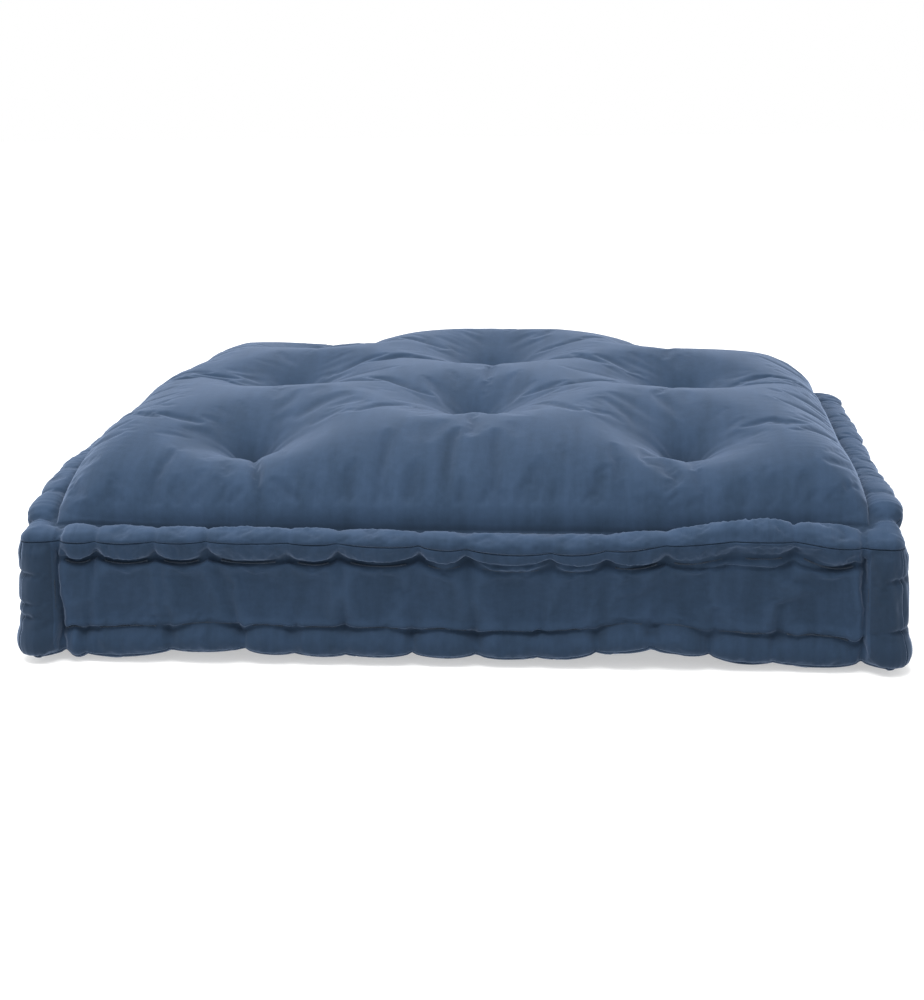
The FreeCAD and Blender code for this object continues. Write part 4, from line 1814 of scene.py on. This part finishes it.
@dataclass(frozen=True)
class BrushedCotton(Finish):
    """Cotton twill, woven and then brushed into a short nap, which pales where it is seen edge-on."""

    name: str = "brushed_cotton_twill"
    # painted shade colour, mixed into folds, pits and the upright corner rolls
    painted_shade_colour: str = "#131f2c"
    deep: str = "#1b2a3b"
    middle: str = "#213247"
    rubbed: str = "#384c66"
    # 0.5 mm in the real twill, drawn three times as coarse so that it shows
    twill: float = 1.5 * MM
    twill_angle: float = 63
    fluff: float = 2.6 * MM
    nap_width: float = 22 * MM
    nap_length: float = 160 * MM
    mottle: float = 9 * MM

    def dress(self, tree: bpy.types.NodeTree, shader: bpy.types.Node) -> None:
        """Nap streaks, mottling, rubbed ridges and painted shade in folds in the colour, twill and nap in the
        bump, sheen over all.

        Args:
            tree: the material's node tree.
            shader: its surface shader.
        """
        chart = add(tree, "ShaderNodeUVMap", {"uv_map": "cloth"}).outputs[0]
        across = add(tree, "ShaderNodeMapping", None,
                     {"Vector": chart, "Scale": (1 / self.nap_width, 1 / self.nap_length, 1)}).outputs[0]
        streaks = add(tree, "ShaderNodeTexNoise", None,
                      {"Vector": across, "Scale": 1.0, "Detail": 4.0, "Roughness": 0.6}).outputs[0]
        mottled = add(tree, "ShaderNodeTexNoise", None,
                      {"Vector": chart, "Scale": 1 / self.mottle, "Detail": 5.0,
                       "Roughness": 0.65}).outputs[0]
        wear_and_shade = add(tree, "ShaderNodeAttribute", {"attribute_name": "wear_and_shade"}).outputs["Fac"]
        nap = add(tree, "ShaderNodeMath", {"operation": "MULTIPLY_ADD"},
                  {0: streaks, 1: 0.65, 2: ramp(tree, mottled, 0, 1, 0, 0.35)}).outputs[0]
        base = blended(tree, ramp(tree, nap, 0.36, 0.66, 0, 1), colour(self.deep), colour(self.middle))
        rub = ramp(tree, wear_and_shade, 0.15, 1.6, 0, 0.16)
        base = blended(tree, rub, base, colour(self.rubbed))
        # painted shade: folds, pits and the upright corner rolls take the darker shade colour
        painted_shade_share = ramp(tree, wear_and_shade, -1.6, -0.15, 0.4, 0)
        base = blended(tree, painted_shade_share, base, colour(self.painted_shade_colour))
        tree.links.new(base, shader.inputs["Base Color"])
        shader.inputs["IOR"].default_value = 1.5
        shader.inputs["Specular IOR Level"].default_value = 0.15
        tree.links.new(ramp(tree, nap, 0.3, 0.7, 0.95, 0.8), shader.inputs["Roughness"])
        shader.inputs["Sheen Weight"].default_value = 0.53
        shader.inputs["Sheen Roughness"].default_value = 0.42
        shader.inputs["Sheen Tint"].default_value = colour("#a3b6d6")
        turned = add(tree, "ShaderNodeMapping", None,
                     {"Vector": chart, "Rotation": (0, 0, math.radians(self.twill_angle))})
        twill = add(tree, "ShaderNodeTexWave", {"wave_type": "BANDS", "bands_direction": "X"},
                    {"Vector": turned.outputs[0], "Scale": 0.314 / self.twill, "Distortion": 1.2,
                     "Detail": 2.0, "Detail Scale": 1.4}).outputs["Fac"]
        fluff = add(tree, "ShaderNodeTexNoise", None,
                    {"Vector": chart, "Scale": 1 / self.fluff, "Detail": 3.0, "Roughness": 0.7}).outputs[0]
        relief = add(tree, "ShaderNodeMath", {"operation": "MULTIPLY_ADD"}, {0: twill, 1: 0.35, 2: fluff})
        bump = add(tree, "ShaderNodeBump", None,
                   {"Strength": 0.35, "Distance": 0.35 * MM, "Height": relief.outputs[0]})
        tree.links.new(bump.outputs[0], shader.inputs["Normal"])


@dataclass(frozen=True)
class CottonWadding(Finish):
    """Carded cotton wadding, unbleached: a matt, creamy tangle of fibres."""

    name: str = "carded_cotton_wadding"
    pale: str = "#e6ddc9"
    dark: str = "#c3b699"
    tuft: float = 14 * MM
    fibre: float = 1.8 * MM

    def dress(self, tree: bpy.types.NodeTree, shader: bpy.types.Node) -> None:
        """Clumps in the colour and fibres in the bump.

        Args:
            tree: the material's node tree.
            shader: its surface shader.
        """
        place = add(tree, "ShaderNodeTexCoord").outputs["Object"]
        clumps = add(tree, "ShaderNodeTexNoise", None,
                     {"Vector": place, "Scale": 1 / self.tuft, "Detail": 6.0, "Distortion": 1.5}).outputs[0]
        base = blended(tree, ramp(tree, clumps, 0.35, 0.65, 0, 1), colour(self.dark), colour(self.pale))
        tree.links.new(base, shader.inputs["Base Color"])
        shader.inputs["Roughness"].default_value = 0.95
        shader.inputs["IOR"].default_value = 1.5
        shader.inputs["Sheen Weight"].default_value = 0.3
        fibres = add(tree, "ShaderNodeTexNoise", None,
                     {"Vector": place, "Scale": 1 / self.fibre, "Detail": 5.0, "Distortion": 3.0}).outputs[0]
        bump = add(tree, "ShaderNodeBump", None, {"Strength": 0.7, "Distance": 1 * MM, "Height": fibres})
        tree.links.new(bump.outputs[0], shader.inputs["Normal"])


@dataclass(frozen=True)
class WaxedTwine(Finish):
    """Dyed, waxed cotton: spun fibres with a low gloss from the wax."""

    name: str = "waxed_cotton_twine"
    dark: str = "#1f2b3c"
    light: str = "#3b4c63"
    gloss: float = 0.5
    fibre: float = 0.5 * MM

    def dress(self, tree: bpy.types.NodeTree, shader: bpy.types.Node) -> None:
        """Fibres in the colour, the gloss and the bump.

        Args:
            tree: the material's node tree.
            shader: its surface shader.
        """
        place = add(tree, "ShaderNodeTexCoord").outputs["Object"]
        spun = add(tree, "ShaderNodeTexNoise", None,
                   {"Vector": place, "Scale": 1 / self.fibre, "Detail": 3.0, "Distortion": 0.8}).outputs[0]
        base = blended(tree, ramp(tree, spun, 0.35, 0.65, 0, 1), colour(self.dark), colour(self.light))
        tree.links.new(base, shader.inputs["Base Color"])
        tree.links.new(ramp(tree, spun, 0.3, 0.7, self.gloss + 0.15, self.gloss), shader.inputs["Roughness"])
        shader.inputs["IOR"].default_value = 1.45
        bump = add(tree, "ShaderNodeBump", None, {"Strength": 0.4, "Distance": 0.2 * MM, "Height": spun})
        tree.links.new(bump.outputs[0], shader.inputs["Normal"])


@dataclass(frozen=True)
class FloorPaint(Finish):
    """A matt white floor with the faint stipple of a paint roller, lit a little from below."""

    name: str = "matt_white_floor"
    white: str = "#cbcbca"
    patchy: str = "#c8c8c7"
    glow: float = 0.47
    patch: float = 1250 * MM
    stipple: float = 3 * MM

    def dress(self, tree: bpy.types.NodeTree, shader: bpy.types.Node) -> None:
        """White, with the roller's stipple in the bump.

        Args:
            tree: the material's node tree.
            shader: its surface shader.
        """
        place = add(tree, "ShaderNodeTexCoord").outputs["Object"]
        patches = add(tree, "ShaderNodeTexNoise", None,
                      {"Vector": place, "Scale": 1 / self.patch, "Detail": 2.0}).outputs[0]
        base = blended(tree, patches, colour(self.patchy), colour(self.white))
        tree.links.new(base, shader.inputs["Base Color"])
        shader.inputs["Roughness"].default_value = 0.9
        shader.inputs["Emission Color"].default_value = colour("#ffffff")
        shader.inputs["Emission Strength"].default_value = self.glow
        grains = add(tree, "ShaderNodeTexNoise", None,
                     {"Vector": place, "Scale": 1 / self.stipple}).outputs[0]
        bump = add(tree, "ShaderNodeBump", None, {"Strength": 0.05, "Distance": 0.2 * MM, "Height": grains})
        tree.links.new(bump.outputs[0], shader.inputs["Normal"])


# ------------ the cushion
@dataclass
class Cushion:
    """The whole cushion: its layout, its pieces and what they are finished in."""

    sizes: CushionSizes
    seed: int = 7
    corner_bulb: float = 43 * MM
    # where the front's stitches are, in millimetres from its middle
    upper_front: tuple[float, ...] = (-375, -312, -257, -172, -120, -35, 13, 100, 157, 216, 284, 345)
    lower_front: tuple[float, ...] = (-392, -300, -223, -169, -115, -45, 22, 84, 147, 203, 261, 327)

    def layout(self) -> CoverShape:
        """Where every stitch, sag and furrow is.

        Returns:
            The cover's shape before it swells.
        """
        s, rng = self.sizes, np.random.default_rng(self.seed)
        crease = s.half - self.corner_bulb
        wrap = 2 * (s.reach - crease)
        count = len(self.upper_front)
        upper = {side: PuckerRow.scattered(rng, count, crease, wrap) for side in Side}
        lower = {side: PuckerRow.scattered(rng, count, crease, wrap) for side in Side}
        dips = (Sag(90 * MM, 110 * MM, -7 * MM),
                Sag(310 * MM, 90 * MM, 12 * MM),
                Sag(-230 * MM, 90 * MM, 2 * MM))
        rises = (Sag(-40 * MM, 120 * MM, 2 * MM),
                 Sag(185 * MM, 65 * MM, 7 * MM),
                 Sag(-260 * MM, 80 * MM, 3 * MM))
        for rows, places, sags in ((upper, self.upper_front, dips), (lower, self.lower_front, rises)):
            places = [place * MM for place in places]
            rows[Side.FRONT] = PuckerRow(places, crease, wrap, sags).tightened(rng)
        pinches = {Side.FRONT: (100 * MM, 66 * MM, 52 * MM),
                   Side.RIGHT: (103 * MM, 48 * MM),
                   Side.BACK: (96 * MM, 60 * MM),
                   Side.LEFT: (104 * MM, 70 * MM, 45 * MM)}
        furrows = [Furrow((-238 * MM, -283 * MM), (-202 * MM, -425 * MM), 6 * MM, 7 * MM)]
        for place in (-84, -12, 39, 173, 260, -330):
            end = (place * MM, -425 * MM)
            furrows.append(Furrow((end[0] * 0.93, -330 * MM), end, 3 * MM, 7 * MM))
        return CoverShape(s, upper, lower, pinches, tuple(furrows))

    def use(self) -> Settling:
        """How this cushion has settled.

        Returns:
            Its sunk corners, and where its rolls are borne up.
        """
        sunk = (Corner((1, 1), 0.24, 20 * MM),
                Corner((-1, 1), 0.05, 3 * MM))
        lifts = (Lift(-1, -380 * MM, 60 * MM, 2 * MM, 4 * MM),
                 Lift(-1, -280 * MM, 130 * MM, 24 * MM, 3 * MM),
                 Lift(-1, -60 * MM, 160 * MM, 6 * MM, 8 * MM),
                 Lift(-1, 40 * MM, 240 * MM, 16 * MM, 3 * MM),
                 Lift(-1, 330 * MM, 90 * MM, 7 * MM, 1 * MM),
                 Lift(1, -395 * MM, 50 * MM, 0, 2 * MM),
                 Lift(1, -360 * MM, 120 * MM, 24 * MM, 0),
                 Lift(1, -80 * MM, 220 * MM, 14 * MM, 0),
                 Lift(1, 210 * MM, 60 * MM, 4 * MM, 6 * MM))
        hitches = (Sag(205 * MM, 60 * MM, 8 * MM),
                   Sag(-250 * MM, 60 * MM, 3 * MM))
        return Settling(self.sizes, sunk, lifts, hitches)

    def build(self) -> None:
        """Makes every piece, dresses it and tells the frame about it."""
        shape = self.layout()
        net = CoverNet(shape)
        points = net.points()
        points = Swelling().run(net, points)
        for side, ids in net.side_ids.items():
            height = points[ids[1:-1], 2]
            points[ids[1:-1], 2] += shape.scallop(side, np.broadcast_to(net.across, height.shape), height)
        settling = self.use()
        cotton = BrushedCotton().material()
        wadding = CottonWadding().material()
        twine = WaxedTwine().material()
        thread = WaxedTwine("spun_cotton_thread", "#16202e", "#22303f", 0.85).material()
        panels = Panels(net, points, np.random.default_rng(self.seed + 1)).build()
        self.take(panels, cotton, settling)
        self.take(Wadding(net, points).build(), wadding, settling)
        self.take(TuftTies(net, points).build(), twine, settling)
        self.take(MattressStitches(net, points).build(thread), thread, settling)

    def take(self, pieces: dict[str, bpy.types.Object], finish: bpy.types.Material,
             settling: Settling) -> None:
        """Finishes pieces of one material.

        Args:
            pieces: the pieces by the CAD nodes that they stand for.
            finish: their material.
            settling: how they settle.
        """
        for node, piece in pieces.items():
            settling.settle(piece)
            if not piece.data.materials:
                piece.data.materials.append(finish)
            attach(piece, "root")
            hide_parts(node)
            LOG.info("%s: %d faces", piece.name, len(piece.data.polygons))


# ------------ studio
@dataclass(frozen=True)
class Softbox:
    """A large soft lamp."""

    name: str
    place: tuple[float, float, float]
    size: tuple[float, float]
    power: float
    aim: tuple[float, float, float] = (0, 0, 0.1)

    def hang(self) -> None:
        """Puts the lamp up, facing its aim."""
        lamp = bpy.data.lights.new(self.name, "AREA")
        lamp.shape = "RECTANGLE"
        lamp.size, lamp.size_y = self.size
        lamp.energy = self.power
        hung = bpy.data.objects.new(self.name, lamp)
        bpy.context.scene.collection.objects.link(hung)
        hung.location = self.place
        hung.rotation_euler = (Vector(self.aim) - Vector(self.place)).to_track_quat("-Z", "Y").to_euler()


@dataclass(frozen=True)
class Studio:
    """The floor, the lamps, the room's light and the camera."""

    floor_half: float = 6.0
    room_light: float = 1.0
    lamps: tuple[Softbox, ...] = (
        Softbox("overhead", (-0.3, -0.7, 2.5), (2.2, 1.8), 115),
        Softbox("window", (-2.2, 0.9, 1.5), (1.6, 1.6), 20),
    )
    eye: tuple[float, float, float] = (0.1782, -2.2505, 0.6935)
    turn_right: float = -0.093
    look_down: float = 0.2765
    lean: float = -0.0183
    lens: float = 66.7
    sensor: float = 36

    def floor(self) -> bpy.types.Object:
        """A plain pale floor under the cushion.

        Returns:
            The floor.
        """
        line = np.linspace(-self.floor_half, self.floor_half, 13)
        x, y = np.meshgrid(line, line, indexing="ij")
        places = np.stack([x, y, 0 * x - 0.2 * MM], axis=-1)
        ids = np.arange(x.size).reshape(x.shape)
        piece = mesh_piece("studio_floor", places.reshape(-1, 3), squares(ids))
        piece.data.materials.append(FloorPaint().material())
        return piece

    def camera(self) -> None:
        """The camera, right of the middle, turned a little left and looking down on the cushion."""
        ahead = Vector((math.sin(self.turn_right) * math.cos(self.look_down),
                        math.cos(self.turn_right) * math.cos(self.look_down), -math.sin(self.look_down)))
        right = Vector((math.cos(self.turn_right), -math.sin(self.turn_right), 0))
        above = right.cross(ahead)
        level = math.cos(self.lean) * right + math.sin(self.lean) * above
        upright = math.cos(self.lean) * above - math.sin(self.lean) * right
        camera = bpy.data.cameras.new("camera")
        camera.sensor_width = self.sensor
        camera.lens = self.lens
        held = bpy.data.objects.new("camera", camera)
        bpy.context.scene.collection.objects.link(held)
        stand = Matrix((level, upright, -ahead)).transposed().to_4x4()
        stand.translation = Vector(self.eye)
        held.matrix_world = stand
        bpy.context.scene.camera = held

    def build(self) -> None:
        """Sets everything up."""
        scene = bpy.context.scene
        world = bpy.data.worlds.new("studio_room")
        world.use_nodes = True
        sky = world.node_tree.nodes["Background"]
        sky.inputs["Color"].default_value = (1, 1, 1, 1)
        sky.inputs["Strength"].default_value = self.room_light
        scene.world = world
        scene.view_settings.view_transform = "Standard"
        for lamp in self.lamps:
            lamp.hang()
        self.camera()
        self.floor()


def main() -> None:
    """Builds the cushion and its studio."""
    logging.basicConfig(level=logging.INFO, format="%(name)s: %(message)s")
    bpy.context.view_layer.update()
    Cushion(CushionSizes.from_frame()).build()
    Studio().build()


if __name__ == "__main__":
    main()
